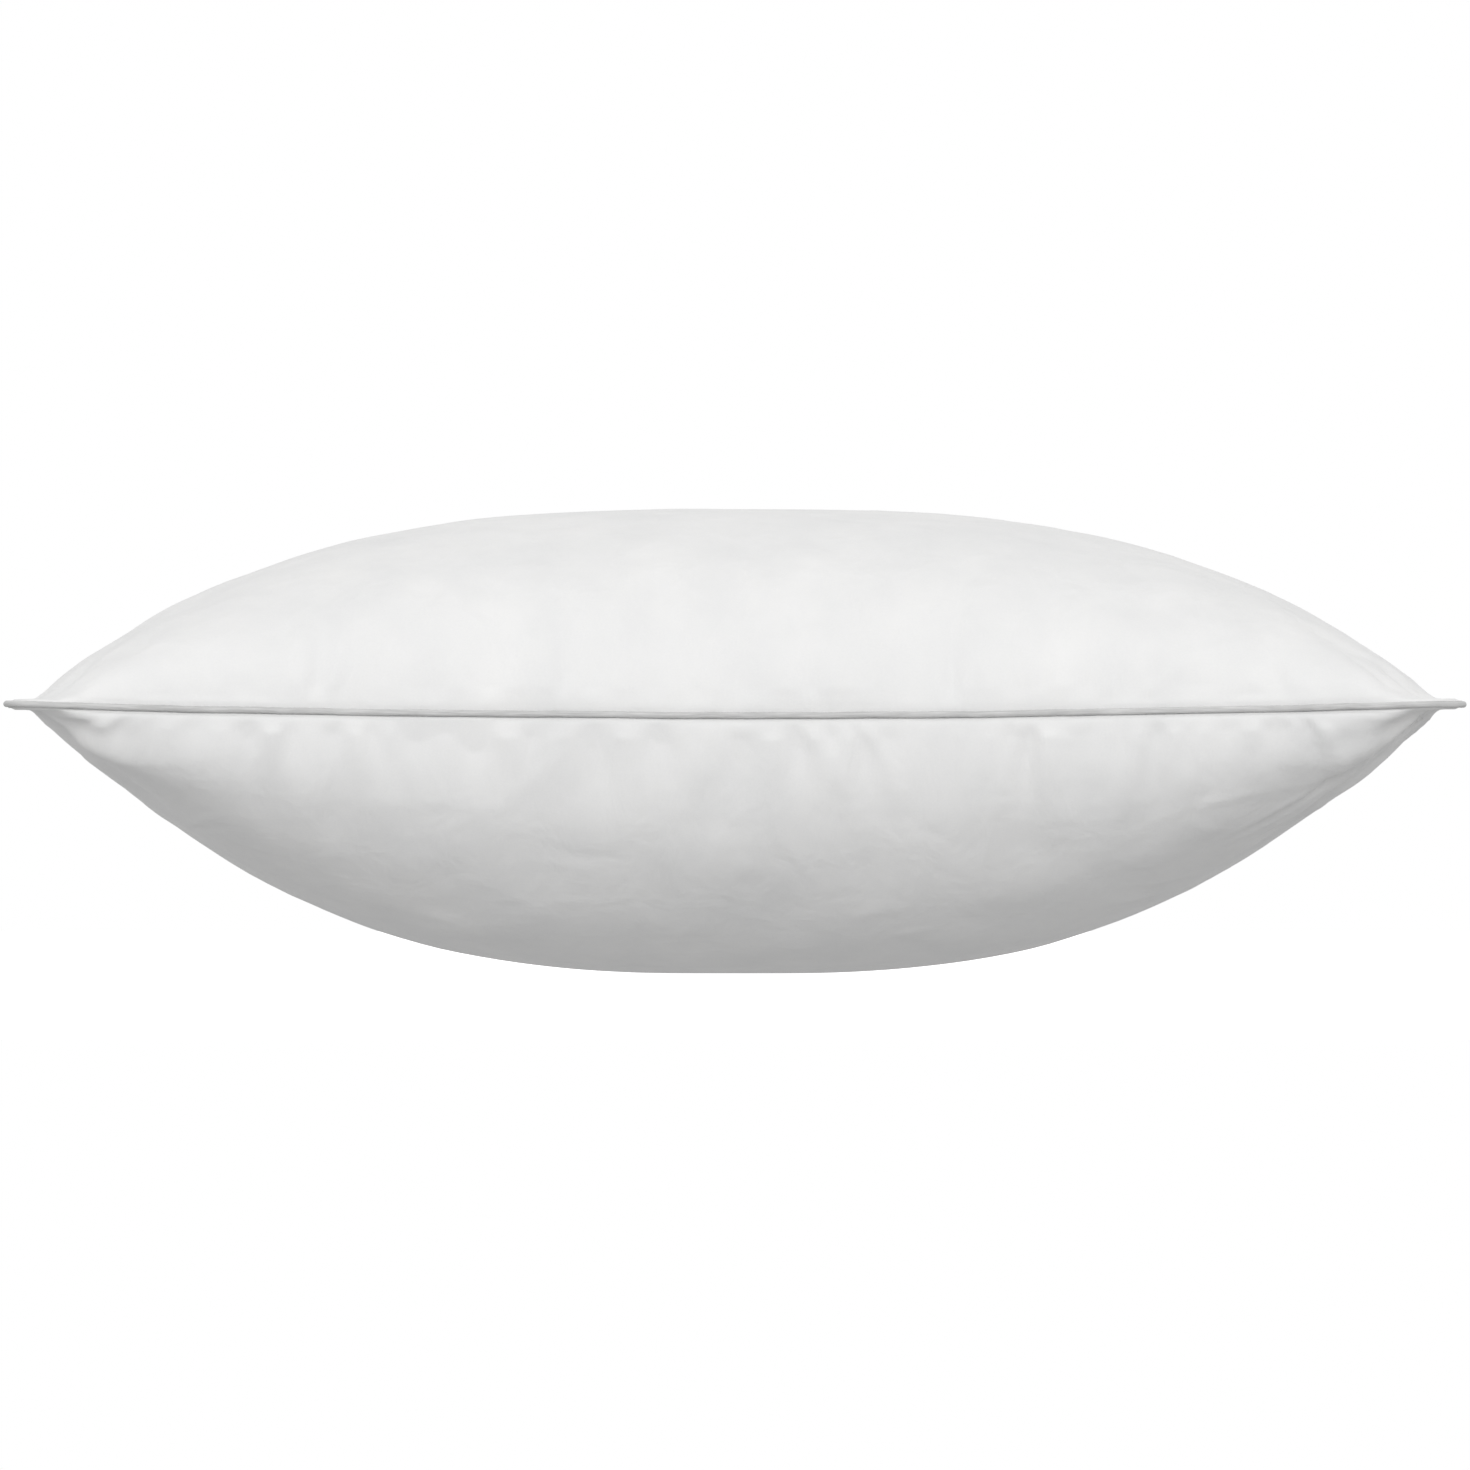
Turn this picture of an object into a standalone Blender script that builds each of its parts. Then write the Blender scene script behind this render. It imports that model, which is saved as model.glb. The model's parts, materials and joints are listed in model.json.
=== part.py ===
"""Bed pillow: two ticking panels sewn together round a piped seam and stuffed with fibre fill.

Metres, +Z up. The origin is on the base under the middle of the pillow, +X runs along the long
sides and +Y along the short sides. Every soft piece is a stack of closed rings that share one set
of stations round the seam line, so layers that lie on each other have parallel facets.
"""
import math

import bmesh
import bpy
import numpy as np
from mathutils import Matrix, Vector

# Overall sizes, over the piping
LENGTH = 0.735              # tip to tip along a long side
WIDTH = 0.4844              # tip to tip along a short side
SHORT_SIDE_BOW = 0.0158     # middle of a short side, inwards from its tips
LONG_SIDE_BOW = 0.038       # middle of a long side, inwards from its tips
SIDE_FLARE = 2.5            # power of the curve by which a side runs out to its corners
RAW_CORNER_RADIUS = 0.002   # corner of the raw edges, at the inner end of the seam allowance

# Heights, from the middle plane that the seam runs along
TOP_LOFT = 0.1012           # middle plane up to the crown
BASE_LOFT = 0.134           # middle plane down to the base
BASE_FLATTENING = 0.0012    # depth of the round base that resting presses flat
SEAM_DIP = 0.003            # seam below the middle plane at the middle of a long side
SEAM_CORNER_RISE = 0.0025   # seam above the middle plane at the corners and short sides
TOP_CURVE = (2.855, 0.882)  # powers of the long section above the seam: crown, rim
BASE_CURVE = (2.752, 1.083)  # powers of the long section below the seam: base, rim
CROSS_CURVE = (2.2, 0.6)    # powers of the cross section at mid-length: crown, rim
CROSS_FADE = 4              # power by which the cross section turns into the long one at the ends
RIM_LIFT = 0.003            # height that a panel gains at once beside the fold
RIM_SHARPNESS = 80          # power by which that lift reaches its height
SEAM_FADE = 6               # power by which the seam's own wave dies out inwards

# Fabric, piping and thread
FABRIC = 0.0004             # thickness of the ticking
CLEARANCE = 0.0003          # gap between layers that lie on each other
SEAM_ALLOWANCE = 0.010      # fold to raw edge
PIPING_DIAMETER = 0.0032    # covered piping
SLEEVE_FABRIC = 0.0004      # thickness of the bias strip round the piping cord
THREAD = 0.0003             # diameter of the seam thread
STITCH_INSET = 0.0025       # seam thread, inwards from the fold
OVERLOCK_THREAD = 0.0004    # thickness of the overlock edge
OVERLOCK_BITE = 0.0025      # overlock edge, inwards over the raw edges
FILL_SETBACK = 0.0008       # fill's rim, inwards from the overlock edge
CLOSING_LENGTH = 0.200      # sewn-up filling opening in the +X short side
CLOSING_INSET = 0.002       # closing stitch from the fold, along the panel
CLOSING_THREAD = 0.0005     # diameter of the closing thread

# Care label, a blank folded ribbon under the piping of the +Y side
LABEL_OFFSET = -0.212       # middle of the label along the side
LABEL_WIDTH = 0.040
LABEL_LENGTH = 0.045
LABEL_THICKNESS = 0.0006
LABEL_GAP = 0.00035         # label to the fold that it hangs beside

# Stations round the seam line and rings across the panels
SIDE_STEPS = (8, 12)        # short sides, long sides
CORNER_STEPS = 3
RIM_RINGS = (0.988, 0.965)
INNER_RINGS = (0.9, 0.83, 0.74, 0.63, 0.49, 0.33, 0.15)

# What follows from those
corner_radius = SEAM_ALLOWANCE + RAW_CORNER_RADIUS
piping_radius = PIPING_DIAMETER / 2
cord_radius = piping_radius - SLEEVE_FABRIC - CLEARANCE
tail_low = CLEARANCE / 2
tail_high = tail_low + SLEEVE_FABRIC
flange_low = tail_high + CLEARANCE
flange_high = flange_low + FABRIC
fold_inside = flange_high + CLEARANCE
fold_outside = fold_inside + FABRIC
overlock_reach = SEAM_ALLOWANCE + CLEARANCE + OVERLOCK_THREAD


def clear_scene():
    for item in list(bpy.data.objects):
        bpy.data.objects.remove(item, do_unlink=True)


def quarter_turns(vector, turns):
    for _ in range(turns):
        vector = (-vector[1], vector[0])
    return np.array(vector, dtype=float)


def seam_stations():
    """Core points, outward normals and unit-square coordinates, anticlockwise from the +X side.

    The core is the seam line drawn in by the corner radius, so it has sharp corners, and the seam
    line and every line parallel to it are the core moved out along the normals.
    """
    tips = np.array([LENGTH, WIDTH]) / 2 - PIPING_DIAMETER - corner_radius
    bows = (SHORT_SIDE_BOW, LONG_SIDE_BOW)
    core, normals, square = [], [], []
    for turn in range(4):
        axis = turn % 2
        outward = quarter_turns((1, 0), turn)
        along = quarter_turns((0, 1), turn)
        reach = tips[1 - axis]
        steps = SIDE_STEPS[axis]
        for step in range(steps + 1):
            share = math.sin(math.pi * (step / steps - 0.5))
            depth = tips[axis] - bows[axis] * (1 - abs(share) ** SIDE_FLARE)
            slope = bows[axis] * SIDE_FLARE * abs(share) ** (SIDE_FLARE - 1) / reach
            normal = outward - math.copysign(slope, share) * along
            core.append(depth * outward + share * reach * along)
            normals.append(normal / np.linalg.norm(normal))
            square.append(outward + share * along)
        # Round the corner, from this side's last normal to the next side's first
        next_slope = bows[1 - axis] * SIDE_FLARE / tips[axis]
        start = math.atan2(normals[-1][1], normals[-1][0])
        end = start + math.pi / 2 + math.atan(slope) + math.atan(next_slope)
        for angle in np.linspace(start, end, CORNER_STEPS + 1)[1:-1]:
            core.append(core[-1])
            normals.append(np.array([math.cos(angle), math.sin(angle)]))
            square.append(square[-1])
    return np.array(core), np.array(normals), np.array(square)


core, normals, square = seam_stations()
stations = len(core)
seam_line = core + normals * corner_radius
seam_wave = (SEAM_DIP + SEAM_CORNER_RISE) * square[:, 0] ** 2 - SEAM_DIP

# The fill starts where a drawn-in seam line is clear of the overlock edge all the way round
narrowest = np.sum(seam_line * normals, axis=1).min()
fill_ring = 1 - (overlock_reach + FILL_SETBACK) / narrowest
panel_rings = RIM_RINGS + (fill_ring,) + INNER_RINGS
fill_rings = (fill_ring,) + INNER_RINGS


def seam_ring(inset, height):
    """A ring parallel to the seam line, inset from the fold and a height from the seam's plane."""
    plan = core + normals * (corner_radius - inset)
    return np.column_stack([plan, BASE_LOFT + seam_wave + height])


def panel_height(scale, side):
    """Height over the middle plane of a panel's outer face, on the seam line drawn in by scale."""
    loft, curve = (TOP_LOFT, TOP_CURVE) if side > 0 else (BASE_LOFT + BASE_FLATTENING, BASE_CURVE)
    along, across = np.clip(np.abs(square * scale), 0, 1).T
    end_share = along ** CROSS_FADE
    crown, rim = [cross + (long - cross) * end_share for cross, long in zip(CROSS_CURVE, curve)]
    bulge = (1 - along ** curve[0]) ** curve[1] * (1 - across ** crown) ** rim
    beside_fold = fold_outside + RIM_LIFT * (1 - scale ** RIM_SHARPNESS)
    return side * (beside_fold + (loft - beside_fold) * bulge) + seam_wave * scale ** SEAM_FADE


def panel_face(scale, side):
    heights = np.maximum(BASE_LOFT + panel_height(scale, side), 0)
    return np.column_stack([seam_line * scale, heights])


def panel_ring(scale, side, depth):
    """A ring under a panel's outer face, moved square to the face by depth."""
    nudge = 0.002
    ring = panel_face(scale, side)
    around = np.roll(ring, -1, axis=0) - np.roll(ring, 1, axis=0)
    outward = panel_face(scale + nudge, side) - panel_face(scale - nudge, side)
    facing = np.cross(outward, around)
    facing /= np.linalg.norm(facing, axis=1, keepdims=True)
    facing *= np.sign(facing[:, 2:]) * side
    return ring - facing * depth


def panel_pole(side, depth):
    height = TOP_LOFT if side > 0 else -BASE_LOFT
    return np.array([0, 0, BASE_LOFT + height - side * depth])


def span(ring_a, ring_b, first_a, first_b):
    """Triangles between two rings, with the diagonal that every other layer has there."""
    faces = []
    grows = np.linalg.norm(ring_b[:, :2], axis=1).sum() > np.linalg.norm(ring_a[:, :2], axis=1).sum()
    for here in range(stations):
        after = (here + 1) % stations
        a, b = first_a + here, first_a + after
        c, d = first_b + after, first_b + here
        faces += [(a, b, c), (a, c, d)] if grows else [(a, b, d), (b, c, d)]
    return faces


def ring_body(rings, poles=None):
    """Points and faces of a body of rings: a dish or lens between two poles, or else a hoop."""
    points = [tuple(point) for ring in rings for point in ring]
    faces = []
    count = len(rings)
    for index in range(count if poles is None else count - 1):
        after = (index + 1) % count
        faces += span(rings[index], rings[after], index * stations, after * stations)
    if poles is not None:
        for pole, ring_index in zip(poles, (0, count - 1)):
            points.append(tuple(pole))
            first = ring_index * stations
            for here in range(stations):
                faces.append((first + here, first + (here + 1) % stations, len(points) - 1))
    return points, faces


def rod_body(path, side_axis, up_axis, radius, sides=6):
    """A round thread along a path of points, with flat ends."""
    points, faces = [], []
    for spot, across, up in zip(path, side_axis, up_axis):
        for turn in range(sides):
            angle = 2 * math.pi * turn / sides
            points.append(tuple(spot + radius * (math.cos(angle) * across + math.sin(angle) * up)))
    for index in range(len(path) - 1):
        for turn in range(sides):
            after = (turn + 1) % sides
            a, b = index * sides + turn, index * sides + after
            faces.append((a, b, b + sides, a + sides))
    faces.append(tuple(range(sides)))
    faces.append(tuple(range(len(points) - sides, len(points))))
    return points, faces


def fabric_material(name, colour, roughness):
    material = bpy.data.materials.new(name)
    material.use_nodes = True
    shader = material.node_tree.nodes["Principled BSDF"]
    shader.inputs["Base Color"].default_value = (*colour, 1)
    shader.inputs["Roughness"].default_value = roughness
    shader.inputs["Metallic"].default_value = 0
    return material


def add_piece(name, body, material, smooth=True):
    """One closed object with its faces pointing out, under the pillow's own empty."""
    points, faces = body
    shape = bmesh.new()
    corners = [shape.verts.new(point) for point in points]
    for face in faces:
        shape.faces.new([corners[index] for index in face])
    bmesh.ops.recalc_face_normals(shape, faces=shape.faces[:])
    mesh = bpy.data.meshes.new(name)
    shape.to_mesh(mesh)
    shape.free()
    mesh.materials.append(material)
    if smooth:
        mesh.shade_smooth()
        mesh.set_sharp_from_angle(angle=math.radians(40))
    piece = bpy.data.objects.new(name, mesh)
    bpy.context.collection.objects.link(piece)
    piece.parent = pillow
    return piece


def panel(name, side, material):
    """A ticking panel: crowned sheet, fold at the piping, and seam allowance turned inwards."""
    outer = [panel_ring(scale, side, 0) for scale in reversed(panel_rings)]
    inner = [panel_ring(scale, side, FABRIC) for scale in panel_rings]
    fold = [seam_ring(0, side * fold_outside), seam_ring(0, side * flange_low)]
    flange = [seam_ring(SEAM_ALLOWANCE, side * flange_low), seam_ring(SEAM_ALLOWANCE, side * flange_high)]
    throat = [seam_ring(FABRIC, side * flange_high), seam_ring(FABRIC, side * fold_inside)]
    poles = (panel_pole(side, 0), panel_pole(side, FABRIC))
    return add_piece(name, ring_body(outer + fold + flange + throat + inner, poles), material)


def fill(material):
    """The fibre fill: one lens with a blunt rim just inside the overlocked seam allowance."""
    depth = FABRIC + CLEARANCE
    upper = [panel_ring(scale, 1, depth) for scale in reversed(fill_rings)]
    lower = [panel_ring(scale, -1, depth) for scale in fill_rings]
    poles = (panel_pole(1, depth), panel_pole(-1, depth))
    return add_piece("fill", ring_body(upper + lower, poles), material)


def hoop(name, section, material):
    return add_piece(name, ring_body([seam_ring(inset, height) for inset, height in section]), material)


def arc(radius, angles):
    """Points of a round section about the piping's centre, angles in degrees from the fold side."""
    turns = [math.radians(angle) for angle in angles]
    return [(-piping_radius + radius * math.cos(turn), radius * math.sin(turn)) for turn in turns]


def piping_sleeve(material):
    """The bias strip: round the cord and back between the panels in two flat tails."""
    bore = piping_radius - SLEEVE_FABRIC
    outer_start = math.degrees(math.asin(tail_high / piping_radius))
    bore_start = math.degrees(math.asin(tail_low / bore))
    round_part = [45, 90, 135, 180, 225, 270, 315]
    outside = arc(piping_radius, [outer_start] + round_part + [360 - outer_start])
    inside = arc(bore, [360 - bore_start] + round_part[::-1] + [bore_start])
    tail_ends = [(SEAM_ALLOWANCE, -tail_high), (SEAM_ALLOWANCE, -tail_low)]
    back = [(SEAM_ALLOWANCE, tail_low), (SEAM_ALLOWANCE, tail_high)]
    return hoop("piping_sleeve", outside + tail_ends + inside + back, material)


def piping_cord(material):
    return hoop("piping_cord", arc(cord_radius, range(0, 360, 45)), material)


def seam_thread(name, side, material):
    middle = side * (flange_high + CLEARANCE + THREAD / 2)
    half = THREAD / 2
    section = [(STITCH_INSET + half, middle), (STITCH_INSET, middle + half),
               (STITCH_INSET - half, middle), (STITCH_INSET, middle - half)]
    return hoop(name, section, material)


def overlock_edge(material):
    """Thread wrapped over the four raw edges: a channel that opens outwards."""
    bite = SEAM_ALLOWANCE - OVERLOCK_BITE
    web = SEAM_ALLOWANCE + CLEARANCE
    low = flange_high + CLEARANCE
    high = low + OVERLOCK_THREAD
    section = [(bite, high), (overlock_reach, high), (overlock_reach, -high), (bite, -high),
               (bite, -low), (web, -low), (web, low), (bite, low)]
    return hoop("overlock_edge", section, material)


def closing_stitch(name, side, material):
    """The line of stitches beside the piping that shuts the filling opening."""
    count = SIDE_STEPS[0] + 1
    fold = seam_ring(0, side * fold_outside)[:count]
    face = panel_ring(RIM_RINGS[0], side, 0)[:count]
    ends = np.array([-CLOSING_LENGTH / 2, CLOSING_LENGTH / 2])
    between = fold[:, 1][np.abs(fold[:, 1]) < CLOSING_LENGTH / 2]
    shares = np.interp(np.sort(np.concatenate([ends, between])), fold[:, 1], np.arange(count))
    low = np.column_stack([np.interp(shares, np.arange(count), fold[:, axis]) for axis in range(3)])
    high = np.column_stack([np.interp(shares, np.arange(count), face[:, axis]) for axis in range(3)])
    slope = (high - low) / np.linalg.norm(high - low, axis=1, keepdims=True)
    facing = np.cross(slope, np.gradient(low, axis=0))
    facing *= np.sign(facing[:, :1]) / np.linalg.norm(facing, axis=1, keepdims=True)
    path = low + slope * CLOSING_INSET + facing * (CLEARANCE + CLOSING_THREAD / 2)
    return add_piece(name, rod_body(path, slope, facing, CLOSING_THREAD / 2), material)


def care_label(material):
    """The blank ribbon, with its origin on the sewn edge that it swings about."""
    count = SIDE_STEPS[1] + 1
    first = SIDE_STEPS[0] + CORNER_STEPS
    radius = LABEL_THICKNESS / 2
    line = seam_ring(-radius - LABEL_GAP, -fold_outside - radius)[first:first + count][::-1]
    edges = LABEL_OFFSET + np.array([-LABEL_WIDTH / 2, LABEL_WIDTH / 2])
    left, right = [Vector([np.interp(x, line[:, 0], line[:, axis]) for axis in range(3)]) for x in edges]
    along = (right - left).normalized()
    outward = Vector((0, 0, 1)).cross(along).normalized()
    section = [(radius * math.cos(angle), radius * math.sin(angle))
               for angle in np.linspace(0, math.pi, 5)]
    section += [(-radius, -LABEL_LENGTH), (radius, -LABEL_LENGTH)]
    size = len(section)
    points = [(end * LABEL_WIDTH / 2, *spot) for end in (-1, 1) for spot in section]
    faces = [tuple(range(size)), tuple(range(size, 2 * size))]
    faces += [(i, (i + 1) % size, (i + 1) % size + size, i + size) for i in range(size)]
    piece = add_piece("care_label", (points, faces), material, smooth=False)
    turn = Matrix((along, outward, along.cross(outward))).transposed().to_4x4()
    piece.matrix_world = Matrix.Translation((left + right) / 2) @ turn
    return piece


clear_scene()
pillow = bpy.data.objects.new("bed_pillow", None)
bpy.context.collection.objects.link(pillow)

ticking = fabric_material("white_cotton_ticking", (0.83, 0.83, 0.84), 0.85)
bias_strip = fabric_material("white_bias_strip", (0.74, 0.74, 0.75), 0.8)
twisted_cord = fabric_material("twisted_cotton_cord", (0.78, 0.76, 0.72), 0.95)
polyester_thread = fabric_material("white_polyester_thread", (0.86, 0.86, 0.86), 0.5)
overlock_thread = fabric_material("white_overlock_thread", (0.8, 0.8, 0.8), 0.7)
fibre = fabric_material("white_polyester_fibre", (0.88, 0.88, 0.88), 0.95)
closing_thread = fabric_material("white_closing_thread", (0.85, 0.85, 0.86), 0.5)
satin_ribbon = fabric_material("blank_satin_ribbon", (0.87, 0.87, 0.87), 0.4)

panel("top_panel", 1, ticking)
panel("bottom_panel", -1, ticking)
piping_sleeve(bias_strip)
piping_cord(twisted_cord)
seam_thread("seam_needle_thread", 1, polyester_thread)
seam_thread("seam_bobbin_thread", -1, polyester_thread)
overlock_edge(overlock_thread)
fill(fibre)
closing_stitch("closing_stitch_top", 1, closing_thread)
closing_stitch("closing_stitch_bottom", -1, closing_thread)
care_label(satin_ribbon)
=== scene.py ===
import json
import math

import bmesh
import bpy
import numpy as np
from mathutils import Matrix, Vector


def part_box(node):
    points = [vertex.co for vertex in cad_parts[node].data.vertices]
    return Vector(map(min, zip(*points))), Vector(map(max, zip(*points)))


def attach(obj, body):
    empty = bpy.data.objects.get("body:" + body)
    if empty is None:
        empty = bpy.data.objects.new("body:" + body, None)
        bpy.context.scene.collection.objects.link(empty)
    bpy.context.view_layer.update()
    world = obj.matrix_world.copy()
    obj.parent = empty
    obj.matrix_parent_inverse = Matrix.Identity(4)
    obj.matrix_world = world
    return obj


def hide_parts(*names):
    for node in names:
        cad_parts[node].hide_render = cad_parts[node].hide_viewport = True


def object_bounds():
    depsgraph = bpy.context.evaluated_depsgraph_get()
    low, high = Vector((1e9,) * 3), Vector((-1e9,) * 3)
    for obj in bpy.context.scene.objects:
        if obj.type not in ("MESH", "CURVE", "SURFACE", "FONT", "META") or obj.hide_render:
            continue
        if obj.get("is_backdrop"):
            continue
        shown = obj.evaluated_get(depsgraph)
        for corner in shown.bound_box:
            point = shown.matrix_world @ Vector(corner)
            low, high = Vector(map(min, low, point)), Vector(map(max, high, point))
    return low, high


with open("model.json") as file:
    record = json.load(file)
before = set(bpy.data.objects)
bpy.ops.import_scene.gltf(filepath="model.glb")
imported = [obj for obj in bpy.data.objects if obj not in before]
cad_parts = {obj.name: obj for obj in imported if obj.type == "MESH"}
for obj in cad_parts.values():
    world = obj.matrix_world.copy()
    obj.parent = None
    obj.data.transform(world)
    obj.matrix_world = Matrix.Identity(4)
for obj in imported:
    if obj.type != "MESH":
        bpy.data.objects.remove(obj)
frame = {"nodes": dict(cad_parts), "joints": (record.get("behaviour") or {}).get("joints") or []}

cadBox = [list(corner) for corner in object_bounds()]
scene = bpy.context.scene

# ---- where the frame is ----
panelLow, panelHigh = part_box("bottom_panel")[0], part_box("top_panel")[1]
sleeveLow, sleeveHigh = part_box("piping_sleeve")

# the seam line, the same outline as the frame's
seam = {
    "pipingRadius": 0.0016,
    "cornerRadius": 0.012,
    "shortBow": 0.0158,  # middle of a short side, inwards from its tips
    "longBow": 0.038,  # middle of a long side, inwards from its tips
    "flare": 2.5,  # how late a side runs out to its corners
    "wobble": 0.00035,  # how far the sewing strays up and down
    "loopSteps": 6000,
}
# the filled casing over that seam
casing = {
    "sewnSize": (0.735, 0.4844),  # over the piping
    "cellsLong": 150,
    "cellsShort": 100,
    "topCurve": (2.855, 0.882),
    "baseCurve": (2.752, 1.055),
    "crossCurve": (2.6, 0.53),  # fuller cross section at mid-length
    "crossFuller": (0.9, -0.16),  # what it gains towards the short ends
    "crossFade": 24,  # how late a cross section gives way to the end curve
    "middle": 0.134,  # height of the plane between the two panels
    "foldHeight": 0.0015,  # panel over the seam plane where it folds
    "besideFold": 0.00195,  # and just inside the fold
    "rimLift": 0.003,
    "rimSharpness": 80,
    "endSharpness": (7, 16),  # the short ends leave the seam more slowly, top and bottom
    "waveFade": 6,
    "roll": (0.0010, 0.0032),  # how far the cloth hangs out over the seam
    "rollHeight": (0.0015, 0.0010),
    "rollReach": 0.10,
    "earFlat": 0.006,  # the ears stay flat this far in from their tips
    "earRun": 0.046,
    "earSlant": 0.6,  # the ears run further along the short sides
    "endEase": 0.0215,  # share of the half length in which the ends close
    "ease": 1.006,  # cloth cut a little larger than the filled shape
    "cloth": 0.0004,
}

tips = np.array(casing["sewnSize"]) / 2 - 2 * seam["pipingRadius"]
coreTips = tips - seam["cornerRadius"]
bows = np.array([seam["shortBow"], seam["longBow"]])
seamLow = sleeveLow[2] + seam["pipingRadius"]
seamHigh = sleeveHigh[2] - seam["pipingRadius"]
topLoft = panelHigh[2] - casing["middle"]
baseLoft = casing["middle"]


def say(stage):
    print("pillow:", stage)


def eased(share):
    return share * share * (3 - 2 * share)


def unit(vectors):
    return vectors / np.linalg.norm(vectors, axis=-1, keepdims=True)


def runLengths(line):
    return np.concatenate([[0], np.cumsum(np.linalg.norm(np.diff(line, axis=0), axis=1))])


def seamSide(axis, q, outset=0.0):
    # outward and sideways coordinates of one side, q from -1 to 1 between the middles of its corners
    other = 1 - axis
    slopeHere = bows[axis] * seam["flare"] / coreTips[other]
    slopeNext = bows[other] * seam["flare"] / coreTips[axis]
    quarter = (math.pi / 2 + math.atan(slopeHere) + math.atan(slopeNext)) / 2
    arc = seam["cornerRadius"] * quarter
    share = np.abs(q) * (coreTips[other] + arc) / coreTips[other]
    turn = np.clip((share - 1) * coreTips[other] / arc, 0, 1)
    share = np.minimum(share, 1)
    depth = coreTips[axis] - bows[axis] * (1 - share ** seam["flare"])
    slope = bows[axis] * seam["flare"] * share ** (seam["flare"] - 1) / coreTips[other]
    angle = -np.arctan(slope) + turn * quarter
    reach = seam["cornerRadius"] + outset
    sideways = np.sign(q) * (share * coreTips[other] + reach * np.sin(angle))
    return depth + reach * np.cos(angle), sideways


def seamWave(x):
    return seamLow + (seamHigh - seamLow) * np.clip(np.abs(x) / coreTips[0], 0, 1) ** 2


def wobble(lap):
    # lap runs from 0 to 1 round the pillow
    total = 0
    for cycles, share, start in ((7, 0.5, 0.4), (17, 0.3, 2.1), (31, 0.2, 4.4), (53, 0.12, 1.3)):
        total = total + share * np.sin(2 * math.pi * cycles * lap + start)
    return seam["wobble"] * total


def lapOf(x, y):
    # share of the way round for a point near the seam
    return (np.arctan2(y / tips[1], x / tips[0]) / (2 * math.pi) - 0.25) % 1


def seamHeight(x, y):
    return seamWave(x) + wobble(lapOf(x, y))


def filledSurface(u, v, side, rolls=1):
    # a point of the filled casing for each pair of square coordinates
    long, short = np.abs(u), np.abs(v)
    plan = [u * (tips[0] - bows[0] * (1 - short ** seam["flare"])),
            v * (tips[1] - bows[1] * (1 - long ** seam["flare"]))]
    edge = np.maximum(np.maximum(long, short), 1e-9)
    onShort = long >= short
    q = np.where(onShort, v / edge, u / edge)
    for axis in (0, 1):
        out, sideways = seamSide(axis, q)
        square = (u, v)[axis]
        rounded = [np.sign(square) * out, sideways] if axis == 0 else [sideways, np.sign(square) * out]
        straight = [np.sign(square) * (tips[axis] - bows[axis] * (1 - np.abs(q) ** seam["flare"])), q * tips[1 - axis]]
        if axis == 1:
            straight = straight[::-1]
        here = onShort if axis == 0 else ~onShort
        fade = edge ** 14
        plan = [np.where(here, p + fade * (r - s), p) for p, r, s in zip(plan, rounded, straight)]
    curve = casing["topCurve"] if side > 0 else casing["baseCurve"]
    loft = topLoft if side > 0 else baseLoft
    ends = long ** casing["crossFade"]
    fuller = [c + gain * long ** 2 for c, gain in zip(casing["crossCurve"], casing["crossFuller"])]
    crown, rim = [c + (l - c) * ends for c, l in zip(fuller, curve)]
    bulge = (1 - long ** curve[0]) ** curve[1] * (1 - short ** crown) ** rim
    bulge = bulge * (1 - np.exp((long - 1) / casing["endEase"]))
    fromTip = np.hypot(np.abs(plan[0]) - tips[0], (np.abs(plan[1]) - tips[1]) * casing["earSlant"])
    puff = eased(np.clip((fromTip - casing["earFlat"]) / casing["earRun"], 0, 1))
    sharp, fadeOut = casing["rimSharpness"], casing["waveFade"]
    beside = casing["foldHeight"] + (casing["besideFold"] - casing["foldHeight"] + casing["rimLift"] * puff) * (
        (1 - long ** casing["endSharpness"][0 if side > 0 else 1]) * (1 - short ** sharp))
    nearSeam = 1 - (1 - long ** fadeOut) * (1 - short ** fadeOut)
    wave = (seamWave(plan[0]) + wobble(lapOf(plan[0], plan[1])) - casing["middle"]) * nearSeam
    above = (loft - beside) * bulge * puff
    height = casing["middle"] + wave + side * (beside + above)
    # the cloth rolls out over the seam before it turns in
    rolled, rollHeight = [casing[key][0 if side > 0 else 1] for key in ("roll", "rollHeight")]
    roll = rolls * rolled * puff * (1 - np.exp(-above / rollHeight))
    toShort, toLong = [np.exp((share - 1) / casing["rollReach"]) for share in (long, short)]
    outwards = np.maximum(np.hypot(toShort, toLong), 1)
    plan[0] = plan[0] + np.sign(u) * roll * toShort / outwards
    plan[1] = plan[1] + np.sign(v) * roll * toLong / outwards
    return np.stack([plan[0], plan[1], height], axis=-1)


def evened(line, fine, places):
    # where along the line the evenly spaced places fall, and its length
    length = runLengths(line)
    return np.interp((places + 1) / 2 * length[-1], length, fine), length[-1]


def evenSquare(side):
    # square coordinates whose points are evenly spaced over the filled cloth, and the cloth's flat size
    a, b = [np.linspace(-1, 1, casing[cells] + 1) for cells in ("cellsLong", "cellsShort")]
    u, v = np.meshgrid(a, b)
    fine = np.sin(np.linspace(-1, 1, 801) * math.pi / 2)
    size = [0, 0]
    for sweep in range(3):
        newU, newV = np.empty_like(u), np.empty_like(v)
        for row in range(len(b)):
            line = filledSurface(fine, np.interp(fine, u[row], v[row]), side)
            newU[row], length = evened(line, fine, a)
            size[0] = length if row == len(b) // 2 else size[0]
        for column in range(len(a)):
            line = filledSurface(np.interp(fine, v[:, column], u[:, column]), fine, side)
            newV[:, column], length = evened(line, fine, b)
            size[1] = length if column == len(a) // 2 else size[1]
        u, v = newU, newV
        u[:, 0], u[:, -1], v[0], v[-1] = -1, 1, -1, 1
    return u, v, size


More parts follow.
